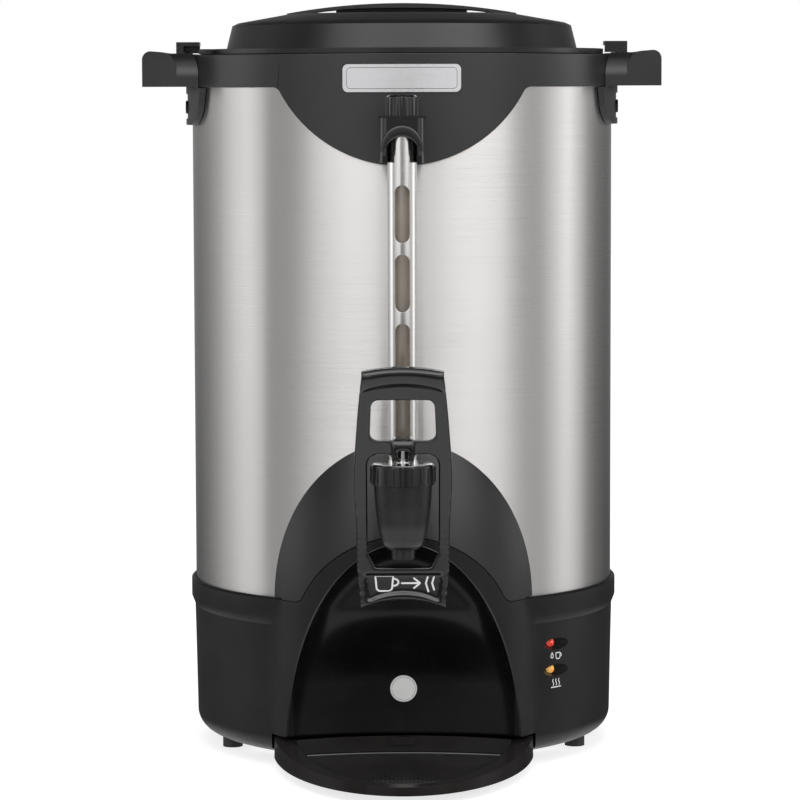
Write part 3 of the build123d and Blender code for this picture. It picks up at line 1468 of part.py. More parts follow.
# ---------------------------------------------------------------- writing
def main():
    keep("tank", tank())
    keep("top_collar", top_collar())
    keep("badge_plate", badge_plate())
    keep("base_housing", base_housing())
    keep("splash_panel", splash_panel())
    keep("recess_disc", recess_disc())
    keep("tap_hood", tap_hood())
    keep("rubber_feet", rubber_feet())
    keep("base_pan", base_pan())
    keep("base_screws", base_screws())
    keep("tie_stud", tie_stud())
    keep("tie_nut", tie_nut())
    keep("heating_well", heating_well())
    keep("brew_element", brew_element())
    keep("warm_element", warm_element())
    keep("thermostat", thermostat())
    keep("thermal_fuse", thermal_fuse())
    keep("terminal_block", terminal_block())
    keep("inner_wires", inner_wires())
    keep("power_inlet", power_inlet())
    keep("inlet_pins", inlet_pins())
    for name, z in light_zs.items():
        keep(name, lens(z))
    keep("indicator_board", indicator_board())
    keep("tap_body", tap_body())
    keep("outer_washer", outer_washer())
    keep("inner_washer", inner_washer())
    keep("shank_nut", shank_nut())
    keep("bonnet_ring", bonnet_ring())
    keep("bonnet_cap", bonnet_cap())
    keep("valve_stem", valve_stem())
    keep("seat_cup", seat_cup())
    keep("stem_spring", stem_spring())
    keep("lever_pin", lever_pin())
    keep("lever", lever())
    keep("gauge_shield", gauge_shield())
    keep("gauge_glass", gauge_glass())
    keep("gauge_seals", gauge_seals())
    keep("gauge_bracket", gauge_bracket())
    keep("gauge_cap_nut", gauge_cap_nut())
    right = handle()
    keep("handle_right", right)
    keep("handle_left", mirrored(right))
    keep("handle_screws", handle_screws())
    keep("handle_nuts", handle_nuts())
    lock = lid_lock()
    keep("lid_lock_right", lock)
    keep("lid_lock_left", Rot(0, 0, 180) * lock)
    keep("lid_seal", lid_seal())
    keep("lid_shell", lid_shell())
    keep("lid_handle", lid_handle())
    keep("lid_screws", lid_screws())
    keep("pump_tube", pump_tube())
    keep("pump_foot", pump_foot())
    keep("brew_basket", brew_basket())
    keep("basket_cover", basket_cover())
    keep("drip_tray", drip_tray())


main()
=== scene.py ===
"""Looks of the coffee urn: every piece of the frame gets its shape and finish here."""

from __future__ import annotations

import json
import logging
import math
from dataclasses import dataclass
from enum import Enum
from typing import Protocol, Sequence

import bpy
import numpy as np
from mathutils import Matrix, Vector

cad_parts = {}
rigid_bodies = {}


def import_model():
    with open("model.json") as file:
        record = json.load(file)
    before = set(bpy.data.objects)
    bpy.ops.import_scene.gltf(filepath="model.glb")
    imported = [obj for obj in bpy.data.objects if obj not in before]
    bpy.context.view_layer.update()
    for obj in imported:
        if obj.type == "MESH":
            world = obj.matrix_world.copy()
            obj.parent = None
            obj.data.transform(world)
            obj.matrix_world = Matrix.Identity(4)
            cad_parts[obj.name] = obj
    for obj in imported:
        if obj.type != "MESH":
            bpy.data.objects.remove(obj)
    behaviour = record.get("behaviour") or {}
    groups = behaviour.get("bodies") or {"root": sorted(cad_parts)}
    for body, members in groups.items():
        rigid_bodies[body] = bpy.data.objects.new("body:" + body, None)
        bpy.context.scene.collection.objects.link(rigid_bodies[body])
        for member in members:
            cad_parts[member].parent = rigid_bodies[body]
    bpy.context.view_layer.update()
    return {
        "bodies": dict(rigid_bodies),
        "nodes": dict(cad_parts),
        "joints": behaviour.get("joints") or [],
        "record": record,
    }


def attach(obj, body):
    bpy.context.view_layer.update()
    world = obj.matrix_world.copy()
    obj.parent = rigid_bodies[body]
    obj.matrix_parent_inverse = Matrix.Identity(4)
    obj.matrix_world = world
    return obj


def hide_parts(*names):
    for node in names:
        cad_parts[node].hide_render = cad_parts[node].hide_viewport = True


LOG = logging.getLogger("urn")
MM = 0.001
Socket = bpy.types.NodeSocket
Triple = tuple[float, float, float]
Stops = Sequence[tuple[float, float]]


# ------------------------------------------------------------------ node helper
class NodeSheet:
    """Builds the node tree of one material or world, link by link."""

    def __init__(self, owner: bpy.types.Material | bpy.types.World) -> None:
        """Empties the owner's tree and gives it an output.

        Args:
            owner: the material or world.
        """
        self.owner = owner
        owner.use_nodes = True
        self.tree = owner.node_tree
        self.tree.nodes.clear()
        kind = "World" if isinstance(owner, bpy.types.World) else "Material"
        self.out = self.tree.nodes.new("ShaderNodeOutput" + kind)
        self.place = self.tree.nodes.new("ShaderNodeTexCoord")

    def add(
        self, kind: str, settings: dict[str, str] | None = None, **sockets: object
    ) -> bpy.types.Node:
        """Adds a node.

        Args:
            kind: the node's type without its ShaderNode prefix.
            settings: plain properties of the node.
            sockets: values or outputs for its inputs, spaces written as underscores, or i0 for
                the first, i1 for the second and so on.

        Returns:
            The new node.
        """
        node = self.tree.nodes.new("ShaderNode" + kind)
        for key, value in (settings or {}).items():
            setattr(node, key, value)
        for key, value in sockets.items():
            numbered = key[0] == "i" and key[1:].isdigit()
            socket = node.inputs[int(key[1:]) if numbered else key.replace("_", " ")]
            if isinstance(value, bpy.types.NodeSocket):
                self.tree.links.new(value, socket)
            else:
                socket.default_value = value
        return node

    def math(self, operation: str, a: Socket | float, b: Socket | float = 0.0) -> Socket:
        """Returns the result of a Math node's operation on two values or sockets."""
        return self.add("Math", {"operation": operation}, i0=a, i1=b).outputs[0]

    def spots(self, scale: Triple, detail: float = 3.0) -> Socket:
        """Returns noise, about 0.5 on average, that repeats as often per metre as scale says."""
        mapped = self.add("Mapping", Vector=self.place.outputs["Object"], Scale=scale)
        return self.add(
            "TexNoise", Vector=mapped.outputs[0], Scale=1.0, Detail=detail, Roughness=0.55
        ).outputs[0]

    def span(
        self, value: Socket, low: float, high: float, a: float = 0.3, b: float = 0.7
    ) -> Socket:
        """Returns the value stretched, so that a becomes low and b becomes high."""
        return self.add("MapRange", i0=value, i1=a, i2=b, i3=low, i4=high).outputs[0]

    def blend(self, factor: Socket, a: Triple, b: Triple) -> Socket:
        """Mixes two colours.

        Args:
            factor: 0 gives a and 1 gives b.
            a: first colour.
            b: second colour.

        Returns:
            The mixed colour's socket.
        """
        ramp = self.add("ValToRGB", Fac=factor)
        ramp.color_ramp.elements[0].color = (*a, 1)
        ramp.color_ramp.elements[1].color = (*b, 1)
        return ramp.outputs[0]

    def levels(self, value: Socket, low: float, high: float, stops: Stops) -> Socket:
        """Reads grey levels off a ramp.

        Args:
            value: what the ramp reads.
            low: the value at the ramp's start.
            high: the value at its end.
            stops: places on the ramp, in the value's own unit, and their grey levels.

        Returns:
            The grey level's socket.
        """
        ramp = self.add("ValToRGB", Fac=self.span(value, 0.0, 1.0, low, high))
        ramp.color_ramp.interpolation = "EASE"
        elements = ramp.color_ramp.elements
        for i, (at, level) in enumerate(stops):
            share = (at - low) / (high - low)
            stop = elements[i] if i < 2 else elements.new(share)
            stop.position = share
            stop.color = (level, level, level, 1.0)
        return ramp.outputs[0]

    def bump(self, height: Socket, depth: float, under: Socket | None = None) -> Socket:
        """Turns a height into a bent normal.

        Args:
            height: the height, 0 to 1.
            depth: its depth in metres.
            under: a coarser bent normal below it.

        Returns:
            The normal's socket.
        """
        node = self.add("Bump", Height=height, Distance=depth, Strength=1.0)
        if under is not None:
            self.tree.links.new(under, node.inputs["Normal"])
        return node.outputs[0]

    def end(self, shader: bpy.types.Node) -> bpy.types.Material | bpy.types.World:
        """Joins the shader to the output and returns the finished material or world."""
        self.tree.links.new(shader.outputs[0], self.out.inputs[0])
        return self.owner


def sheet(name: str) -> NodeSheet:
    """Returns an empty node sheet for a new material."""
    return NodeSheet(bpy.data.materials.new(name))


def scaled(colour: Triple, share: float, more: float = 0.0) -> Triple:
    """Returns the colour times a share, plus a little."""
    return tuple(c * share + more for c in colour)


# ------------------------------------------------------------------ finishes
@dataclass(frozen=True)
class BrushedSteel:
    """Stainless sheet with fine level lines, whose highlights are drawn out upright."""

    name: str
    tone: Triple = (0.63, 0.615, 0.605)
    dark_share: float = 0.93
    smooth: float = 0.3
    line_swing: float = 0.03
    cloud_swing: float = 0.02
    stretch: float = 0.86
    lines: Triple = (14.0, 14.0, 5200.0)
    long_lines: Triple = (4.2, 4.2, 1820.0)
    clouds: Triple = (9.0, 9.0, 5.0)
    depth: float = 0.000008

    def build(self) -> bpy.types.Material:
        """Returns the material: lines in tone, roughness and bump, clouds in roughness."""
        s = sheet(self.name)
        fine = s.spots(self.lines)
        long = s.spots(self.long_lines, 2.0)
        cloud = s.spots(self.clouds)
        tone = s.blend(
            s.span(fine, 0.0, 1.0, 0.2, 0.8), scaled(self.tone, self.dark_share), self.tone
        )
        rough = s.math(
            "ADD",
            s.span(fine, -self.line_swing, self.line_swing),
            s.span(cloud, self.smooth - self.cloud_swing, self.smooth + self.cloud_swing),
        )
        upright = s.add(
            "VectorTransform",
            {"vector_type": "VECTOR", "convert_from": "OBJECT", "convert_to": "WORLD"},
            Vector=(0.0, 0.0, 1.0),
        )
        return s.end(s.add(
            "BsdfPrincipled", Base_Color=tone, Roughness=rough, Metallic=1.0,
            Normal=s.bump(fine, self.depth, s.bump(long, self.depth)),
            Anisotropic=self.stretch, Tangent=upright.outputs[0],
        ))


@dataclass(frozen=True)
class MouldedPlastic:
    """Spark-eroded or polished black plastic, by its grain and roughness."""

    name: str
    tone: Triple = (0.010, 0.010, 0.0105)
    pale_share: float = 1.25
    pale_more: float = 0.001
    smooth: float = 0.36
    smoother: float = 0.02
    rougher: float = 0.03
    grain: float = 2600.0
    grain_swing: float = 0.02
    clouds: float = 35.0
    depth: float = 0.00002
    shine: float = 0.5

    def build(self) -> bpy.types.Material:
        """Returns the material: fine grain in bump, slow clouds in roughness and tone."""
        s = sheet(self.name)
        fine = s.spots((self.grain,) * 3, 2.0)
        cloud = s.spots((self.clouds,) * 3)
        pale = scaled(self.tone, self.pale_share, self.pale_more)
        rough = s.math(
            "ADD",
            s.span(fine, -self.grain_swing, self.grain_swing),
            s.span(cloud, self.smooth - self.smoother, self.smooth + self.rougher),
        )
        return s.end(s.add(
            "BsdfPrincipled", Base_Color=s.blend(s.span(cloud, 0.0, 1.0), self.tone, pale),
            Roughness=rough, Specular_IOR_Level=self.shine, Normal=s.bump(fine, self.depth),
        ))


@dataclass(frozen=True)
class PlainMetal:
    """Rolled or turned metal with faint scratches."""

    name: str
    tone: Triple = (0.66, 0.66, 0.66)
    dark_share: float = 0.93
    smooth: float = 0.18
    smoother: float = 0.05
    rougher: float = 0.08
    scratches: Triple = (900.0, 90.0, 900.0)
    depth: float = 0.000004

    def build(self) -> bpy.types.Material:
        """Returns the material: scratches in tone and roughness, with a trace of bump."""
        s = sheet(self.name)
        fine = s.spots(self.scratches, 4.0)
        tone = s.blend(s.span(fine, 0.0, 1.0), scaled(self.tone, self.dark_share), self.tone)
        return s.end(s.add(
            "BsdfPrincipled", Base_Color=tone, Metallic=1.0,
            Roughness=s.span(fine, self.smooth - self.smoother, self.smooth + self.rougher),
            Normal=s.bump(fine, self.depth),
        ))


@dataclass(frozen=True)
class SoftSolid:
    """Rubber, silicone, ceramic, board, print or other dull solids."""

    name: str
    tone: Triple
    smooth: float = 0.6
    grain: float = 1500.0
    depth: float = 0.00004
    dark_share: float = 0.9
    swing: float = 0.06
    clouds: float = 60.0

    def build(self) -> bpy.types.Material:
        """Returns the material: mottled tone, grain in roughness and bump."""
        s = sheet(self.name)
        fine = s.spots((self.grain,) * 3)
        cloud = s.spots((self.clouds,) * 3, 2.0)
        tone = s.blend(s.span(cloud, 0.0, 1.0), scaled(self.tone, self.dark_share), self.tone)
        return s.end(s.add(
            "BsdfPrincipled", Base_Color=tone, Normal=s.bump(fine, self.depth),
            Roughness=s.span(fine, self.smooth - self.swing, self.smooth + self.swing),
        ))


@dataclass(frozen=True)
class ClearTube:
    """Drawn glass with faint waves, which lets light through to what stands behind it."""

    name: str
    tone: Triple = (0.98, 0.97, 0.96)
    shade: Triple = (0.95, 0.94, 0.92)
    waves: Triple = (90.0, 90.0, 12.0)
    rough_from: float = 0.01
    rough_to: float = 0.05
    bend: float = 1.47
    depth: float = 0.00005

    def build(self) -> bpy.types.Material:
        """Returns the material: clear glass, open to shadow rays and diffuse rays."""
        s = sheet(self.name)
        wave = s.spots(self.waves, 2.0)
        glass = s.add(
            "BsdfPrincipled", Base_Color=(*self.tone, 1.0), IOR=self.bend,
            Roughness=s.span(wave, self.rough_from, self.rough_to),
            Transmission_Weight=1.0, Normal=s.bump(wave, self.depth),
        )
        path = s.add("LightPath").outputs
        open_way = s.add("BsdfTransparent", Color=(*self.shade, 1.0))
        return s.end(s.add(
            "MixShader", i0=s.math("MAXIMUM", path["Is Shadow Ray"], path["Is Diffuse Ray"]),
            i1=glass.outputs[0], i2=open_way.outputs[0],
        ))


@dataclass(frozen=True)
class LitLens:
    """Tinted lens with a lamp's uneven glow behind it."""

    name: str
    tone: Triple
    core: Triple
    glow: float = 0.5
    smooth: float = 0.1
    facets: float = 900.0
    core_from: float = 0.4
    core_to: float = 0.68
    depth: float = 0.0001

    def build(self) -> bpy.types.Material:
        """Returns the material: saturated plastic that glows, palest in its cloud's crests."""
        s = sheet(self.name)
        cloud = s.spots((self.facets,) * 3, 2.0)
        share = s.span(cloud, 0.0, 1.0, self.core_from, self.core_to)
        lit = s.blend(share, self.tone, self.core)
        return s.end(s.add(
            "BsdfPrincipled", Base_Color=lit, Roughness=self.smooth, Emission_Color=lit,
            Emission_Strength=self.glow, Normal=s.bump(cloud, self.depth),
        ))


class Finish(Enum):
    """Every finish on the urn."""

    STEEL = BrushedSteel("brushed_steel")
    SATIN = MouldedPlastic("black_satin_plastic")
    BASE = MouldedPlastic("black_base_plastic", smooth=0.34, shine=0.2)
    HOOD = MouldedPlastic("black_hood_plastic", smooth=0.38, shine=0.36)
    LID = MouldedPlastic("black_lid_plastic", smooth=0.3, shine=0.36)
    FINE = MouldedPlastic("black_fine_plastic", smooth=0.25, depth=0.000012)
    TRAY = MouldedPlastic(
        "black_tray_plastic", (0.012, 0.0105, 0.01), smooth=0.22, depth=0.000006, shine=0.26
    )
    GLOSS = MouldedPlastic(
        "black_gloss_plastic", (0.005, 0.005, 0.0055), smooth=0.12, depth=0.000002, shine=0.6
    )
    # glossy black liner, its tone darker and its reflection weaker than the other blacks: painted
    # shade for the shade inside the cup recess
    SHADED_LINER = MouldedPlastic(
        "black_liner_plastic", (0.004, 0.004, 0.0045), smooth=0.26, depth=0.000002, shine=0.22
    )
    SHEET = PlainMetal("stainless_sheet")
    DULL_SHEET = PlainMetal("dull_cover_sheet", (0.42, 0.42, 0.42), smooth=0.42)
    TUBE = PlainMetal("polished_tube", (0.7, 0.685, 0.67), smooth=0.14)
    CHROME = PlainMetal("chrome", (0.8, 0.8, 0.81), smooth=0.08)
    ZINC = PlainMetal("zinc_screws", (0.58, 0.58, 0.57), smooth=0.3)
    DARK_SCREW = PlainMetal("blackened_screws", (0.03, 0.03, 0.032), smooth=0.35)
    PLATE = PlainMetal("satin_plate", (0.56, 0.56, 0.57), smooth=0.42)
    BACKING = SoftSolid("stained_backing", (0.86, 0.8, 0.74), 0.25, 900.0, 0.00001)
    LABEL = SoftSolid("white_label", (0.8, 0.8, 0.79), 0.35)
    PRINT = SoftSolid("white_print", (0.86, 0.86, 0.86), 0.5, 2500.0, 0.00001)
    LINE = SoftSolid("grey_line", (0.16, 0.16, 0.17), 0.5, 2500.0, 0.00001)
    RUBBER = SoftSolid("black_rubber", (0.02, 0.02, 0.02), 0.7)
    SILICONE = SoftSolid("silicone", (0.62, 0.6, 0.57), 0.5)
    CERAMIC = SoftSolid("ceramic", (0.72, 0.71, 0.68), 0.45)
    BOARD = SoftSolid("board", (0.05, 0.2, 0.09), 0.4)
    SLEEVE = SoftSolid("wire_sleeve", (0.55, 0.5, 0.42), 0.7, 3000.0)
    GLASS = ClearTube("sight_glass")
    RED = LitLens("red_lens", (0.6, 0.012, 0.01), (0.95, 0.2, 0.14))
    AMBER = LitLens("amber_lens", (0.75, 0.28, 0.02), (0.98, 0.72, 0.3))


# ------------------------------------------------------------------ mesh helper
@dataclass
class Patch:
    """Grid of points, rows by columns by three, in millimetres.

    Each row is a loop. The first and last rows get a flat end, or, where the patch is closed, the
    last row is joined to the first.
    """

    points: np.ndarray
    closed: bool = False

    def faces(self, start: int) -> list:
        """Lists the grid's faces: quads between rows, and the flat ends.

        Args:
            start: number of the first point in the whole mesh.

        Returns:
            Faces as lists of point numbers.
        """
        rows, cols = self.points.shape[:2]
        index = start + np.arange(rows * cols).reshape(rows, cols)
        if self.closed:
            index = np.vstack([index, index[:1]])
        here, there = index[:-1], index[1:]
        corners = [here, np.roll(here, -1, 1), np.roll(there, -1, 1), there]
        quads = np.stack(corners, -1).reshape(-1, 4)
        ends = [] if self.closed else [index[0, ::-1].tolist(), index[-1].tolist()]
        return quads.tolist() + ends


def solid(name: str, patches: Sequence[Patch]) -> bpy.types.Object:
    """Makes one object of closed patches, each turned to face outwards.

    A patch faces outwards where the sum of a . (b x c) + a . (c x d) over its quads, with corners
    a to d measured from its mean point, is above zero.

    Args:
        name: the object's name.
        patches: its closed patches.

    Returns:
        The object, in metres, in the scene.
    """
    points, faces = [], []
    for patch in patches:
        start = sum(len(p) for p in points)
        found = patch.faces(start)
        flat = patch.points.reshape(-1, 3)
        quads = np.array([f for f in found if len(f) == 4]) - start
        a, b, c, d = (flat[quads[:, i]] - flat.mean(0) for i in range(4))
        volume = np.einsum("ij,ij->", a, np.cross(b, c) + np.cross(c, d))
        faces += found if volume > 0 else [f[::-1] for f in found]
        points.append(flat)
    mesh = bpy.data.meshes.new(name)
    mesh.from_pydata((np.vstack(points) * MM).tolist(), [], faces)
    mesh.update()
    obj = bpy.data.objects.new(name, mesh)
    bpy.context.scene.collection.objects.link(obj)
    return obj


# shares of its half-width at which a bead's round end is cut, and the least square of its fall
END_SHARES = (1.0, 0.92, 0.7, 0.38)
END_LEAST = 0.0004


@dataclass(frozen=True)
class Bead:
    """Raised line: a low half-ellipse with a flat, slightly sunk floor."""

    width: float
    height: float
    sunk: float = 0.08
    sides: int = 9

    def along(self, path: np.ndarray, normal: np.ndarray, closed: bool = False) -> Patch:
        """Carries the profile along a path.

        A point is p + s * (w / 2) * k * cos(a) + n * (h * k * sin(a) - sunk), where p runs along
        the path, n is the carrier's normal, s is tangent cross n, a runs from 0 to pi and k falls
        to zero in a quarter round at open ends.

        Args:
            path: points in millimetres, one per row.
            normal: outward unit normals at these points.
            closed: whether the path closes on itself.

        Returns:
            The bead as a patch.
        """
        k = np.ones(len(path))
        if not closed:
            share = np.array(END_SHARES)
            reach = share * self.width / 2
            head = path[0] - np.outer(reach, unit(path[1] - path[0]))
            tail = path[-1] + np.outer(reach[::-1], unit(path[-1] - path[-2]))
            path = np.vstack([head, path, tail])
            normal = np.vstack([normal[[0] * len(share)], normal, normal[[-1] * len(share)]])
            fall = np.sqrt(np.maximum(1 - share**2, END_LEAST))
            k = np.concatenate([fall, k, fall[::-1]])
        if closed:
            tangent = np.roll(path, -1, 0) - np.roll(path, 1, 0)
        else:
            tangent = np.gradient(path, axis=0)
        side = unit(np.cross(unit(tangent), normal))
        a = np.linspace(0.0, math.pi, self.sides)
        out = np.cos(a)[None, :] * k[:, None] * self.width / 2
        up = np.sin(a)[None, :] * k[:, None] * self.height - self.sunk
        points = side[:, None, :] * out[..., None] + normal[:, None, :] * up[..., None]
        return Patch(path[:, None, :] + points, closed)


def unit(v: np.ndarray) -> np.ndarray:
    """Returns the vectors scaled to length one."""
    return v / np.linalg.norm(v, axis=-1, keepdims=True)


def dense(points: Sequence[Sequence[float]], step: float = 0.25) -> np.ndarray:
    """Divides a broken line evenly, by its length.

    Args:
        points: corners (u, v) in millimetres.
        step: distance between the new points.

    Returns:
        Points on the line, one per row.
    """
    p = np.asarray(points, float)
    at = np.concatenate([[0.0], np.cumsum(np.linalg.norm(np.diff(p, axis=0), axis=1))])
    s = np.linspace(0.0, at[-1], max(int(at[-1] / step), 3))
    return np.stack([np.interp(s, at, p[:, i]) for i in range(p.shape[1])], 1)


def arc(
    u: float, v: float, ru: float, rv: float, a0: float, a1: float, count: int = 14
) -> np.ndarray:
    """Returns part of an ellipse: (u + ru cos a, v + rv sin a), a from a0 to a1 degrees."""
    a = np.radians(np.linspace(a0, a1, count))
    return np.stack([u + ru * np.cos(a), v + rv * np.sin(a)], 1)


# ------------------------------------------------------------------ carriers and signs
class Carrier(Protocol):
    """Surface that flat lines can be laid on."""

    def lift(self, uv: np.ndarray) -> tuple[np.ndarray, np.ndarray]:
        """Returns points on the surface and outward normals, for flat points."""


@dataclass(frozen=True)
class RoundWall:
    """Upright round wall that a sign lies on."""

    radius: float
    bearing_deg: float
    z: float

    def lift(self, uv: np.ndarray) -> tuple[np.ndarray, np.ndarray]:
        """Bends flat points round the wall: u is arc length from the bearing, v is height.

        Args:
            uv: flat points in millimetres.

        Returns:
            Points and outward normals.
        """
        a = math.radians(self.bearing_deg) + uv[:, 0] / self.radius
        normal = np.stack([np.sin(a), -np.cos(a), 0 * a], 1)
        points = normal * self.radius
        points[:, 2] = self.z + uv[:, 1]
        return points, normal


@dataclass(frozen=True)
class BentFace:
    """Front of the lever: a circle through three side points (y, z), moved forward."""

    top: tuple[float, float] = (-195.0, 243.6)
    mid: tuple[float, float] = (-172.6, 178.0)
    low: tuple[float, float] = (-157.4, 97.0)
    forward: float = 1.5
    z: float = 0.0

    def lift(self, uv: np.ndarray) -> tuple[np.ndarray, np.ndarray]:
        """Lays flat points on the face: y = cy + side * sqrt(r * r - (z - cz) squared) - forward.

        Args:
            uv: flat points, across and up, in millimetres.

        Returns:
            Points and outward normals.
        """
        (ay, az), (by, bz), (cy, cz) = self.top, self.mid, self.low
        d = 2 * (ay * (bz - cz) + by * (cz - az) + cy * (az - bz))
        qa, qb, qc = ay * ay + az * az, by * by + bz * bz, cy * cy + cz * cz
        y0 = (qa * (bz - cz) + qb * (cz - az) + qc * (az - bz)) / d
        z0 = (qa * (cy - by) + qb * (ay - cy) + qc * (by - ay)) / d
        r = math.hypot(ay - y0, az - z0)
        side = 1.0 if by > y0 else -1.0
        z = self.z + uv[:, 1]
        y = y0 + side * np.sqrt(r * r - (z - z0) ** 2)
        normal = np.stack([0 * z, y - y0, z - z0], 1)
        normal *= np.where(normal[:, 1:2] > 0, -1.0, 1.0)
        return np.stack([uv[:, 0], y - self.forward, z], 1), unit(normal)


@dataclass(frozen=True)
class HollowWall:
    """Hollow back of the cup recess, bowed in plan."""

    back_y: float = -100.0
    bow: float = 203.5
    forward: float = 0.0
    z: float = 0.0

    def depth(self, x: np.ndarray) -> np.ndarray:
        """Returns the wall's y at each x: back - bow + sqrt(bow * bow - x * x) - forward."""
        return self.back_y - self.bow + np.sqrt(self.bow**2 - x**2) - self.forward

    def lift(self, uv: np.ndarray) -> tuple[np.ndarray, np.ndarray]:
        """Lays flat points on the wall.

        Args:
            uv: flat points, across and up, in millimetres.

        Returns:
            Points and outward normals.
        """
        x = uv[:, 0]
        normal = np.stack([-x, -np.sqrt(self.bow**2 - x**2), 0 * x], 1) / self.bow
        return np.stack([x, self.depth(x), self.z + uv[:, 1]], 1), normal


class Sign(Enum):
    """Generic signs, drawn in line."""

    PRESS_CUP = "press_cup"
    BREW = "brew"
    WARM = "warm"

    def strokes(self) -> list[np.ndarray]:
        """Returns the sign's lines as flat points in millimetres."""
        return {Sign.PRESS_CUP: press_cup, Sign.BREW: brewing, Sign.WARM: warming}[self]()


# lines of the press plate's sign: the arrow, the plate that gives way, and its mark of travel
ARROW = (((-0.8, 4.6), (9.2, 4.6)), ((6.0, 7.4), (9.4, 4.6), (6.0, 1.8)))
PLATE = (((14.0, 9.4), (12.6, 4.6), (14.0, -0.2)), ((17.2, 8.4), (16.1, 4.6), (17.2, 0.8)))
# a mug's foot and corners as shares of its width, and its ear as shares of its width and height
MUG_FOOT, MUG_CORNER = 0.44, 0.22
EAR_UP, EAR_W, EAR_H, EAR_SUNK = 0.58, 0.3, 0.24, 0.1
# the drop: its tip's height, its ball's middle and radius; the waves: swing, foot, rise, places
DROP_TIP, DROP_U, DROP_V, DROP_R = 4.6, -3.4, 2.5, 1.0
WAVE_SWING, WAVE_FOOT, WAVE_RISE, WAVE_PLACES = 0.45, 1.1, 3.5, (-2.5, 0.0, 2.5)


def mug(u: float, v: float, w: float, h: float) -> list[np.ndarray]:
    """Mug seen from the side: a tapering bowl with round lower corners, and an ear.

    Args:
        u: middle of the bowl.
        v: its foot.
        w: its width.
        h: its height.

    Returns:
        Its lines.
    """
    r, foot = w * MUG_CORNER, w * MUG_FOOT
    bowl = np.vstack([
        [(u - w / 2, v + h), (u - foot, v + r)],
        arc(u - foot + r, v + r, r, r, 180, 270, 6),
        arc(u + foot - r, v + r, r, r, 270, 360, 6),
        [(u + foot, v + r), (u + w / 2, v + h), (u - w / 2, v + h)],
    ])
    ear = arc(u + w / 2 - EAR_SUNK, v + h * EAR_UP, w * EAR_W, h * EAR_H, 90, -90)
    return [dense(bowl), dense(ear)]


def press_cup() -> list[np.ndarray]:
    """Returns a mug, an arrow and an upright plate that gives way to it."""
    return mug(-10.6, 0.1, 10.0, 8.7) + [dense(line) for line in ARROW + PLATE]


def brewing() -> list[np.ndarray]:
    """Returns a small mug with a drop beside it."""
    tip = [(DROP_U, DROP_TIP)]
    drop = np.vstack([tip, arc(DROP_U, DROP_V, DROP_R, DROP_R, 150, 390, 12), tip])
    return [dense(drop, 0.15)] + mug(1.6, 0.6, 3.8, 3.5)


def warming() -> list[np.ndarray]:
    """Returns three waves over a bar: (u + swing sin 2 pi t, foot + rise t), t from 0 to 1."""
    t = np.linspace(0.0, 1.0, 22)
    swing, v = WAVE_SWING * np.sin(2 * math.pi * t), WAVE_FOOT + t * WAVE_RISE
    bar = dense([(-4.0, 0.0), (4.0, 0.0)], 0.2)
    return [np.stack([u + swing, v], 1) for u in WAVE_PLACES] + [bar]


# ------------------------------------------------------------------ sub-assemblies
# distance at which points are welded, in metres, and the angle from which an edge is broken
WELD_M = 0.000005
EDGE_ANGLE_DEG = 35.0


@dataclass
class SubAssembly:
    """Pieces that belong together, with the frame they sit in and the materials made so far."""

    frame: dict
    made: dict[Finish, bpy.types.Material]

    def material(self, finish: Finish) -> bpy.types.Material:
        """Builds a finish once.

        Args:
            finish: the finish.

        Returns:
            Its material.
        """
        if finish not in self.made:
            self.made[finish] = finish.value.build()
        return self.made[finish]

    def dress(self, node: str, finish: Finish, edge_mm: float, segments: int = 2) -> None:
        """Finishes one frame node.

        Args:
            node: the node's name.
            finish: its finish.
            edge_mm: width of its broken edges, 0 for none.
            segments: faces across a broken edge.
        """
        obj = self.frame["nodes"][node]
        obj.data.materials.clear()
        obj.data.materials.append(self.material(finish))
        obj.data.shade_smooth()
        weld = obj.modifiers.new("weld", "WELD")
        weld.merge_threshold = WELD_M
        if edge_mm:
            bevel = obj.modifiers.new("edge", "BEVEL")
            bevel.width = edge_mm * MM
            bevel.segments = segments
            bevel.limit_method = "ANGLE"
            bevel.angle_limit = math.radians(EDGE_ANGLE_DEG)
        normals = obj.modifiers.new("normals", "WEIGHTED_NORMAL")
        normals.keep_sharp = True
        LOG.info("dressed %s", node)

    def soften(self, node: str, grain_mm: float = 0.6, rounds: int = 26) -> None:
        """Rounds all of a moulded node's edges.

        An even fine mesh is laid over it, whose points move half-way to their neighbours' mean in
        each round.

        Args:
            node: the node's name.
            grain_mm: size of the new mesh's faces.
            rounds: number of smoothing rounds.
        """
        obj = self.frame["nodes"][node]
        obj.modifiers.remove(obj.modifiers["normals"])
        even = obj.modifiers.new("even", "REMESH")
        even.mode = "VOXEL"
        even.voxel_size = grain_mm * MM
        even.use_smooth_shade = True
        soft = obj.modifiers.new("soft", "SMOOTH")
        soft.factor = 0.5
        soft.iterations = rounds

    def place(
        self, name: str, patches: Sequence[Patch], finish: Finish, body: str, slot: str
    ) -> bpy.types.Object:
        """Makes a new piece and lets it ride on its body.

        Args:
            name: the piece's name.
            patches: its closed patches.
            finish: its finish.
            body: the body it rides on.
            slot: the record's slot for the piece; not used.

        Returns:
            The piece.
        """
        obj = solid(name, patches)
        obj.data.materials.append(self.material(finish))
        obj.data.shade_smooth()
        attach(obj, body)
        LOG.info("made %s on %s", name, body)
        return obj

    def draw(self, name: str, sign: Sign, carrier: Carrier, bead: Bead, body: str) -> None:
        """Lays a sign on its carrier as raised print.

        Args:
            name: the sign's piece.
            sign: what it shows.
            carrier: the surface it lies on.
            bead: the width and height of its lines.
            body: the body it rides on.
        """
        lines = [bead.along(*carrier.lift(stroke)) for stroke in sign.strokes()]
        self.place(name, lines, Finish.PRINT, body, "white_label")


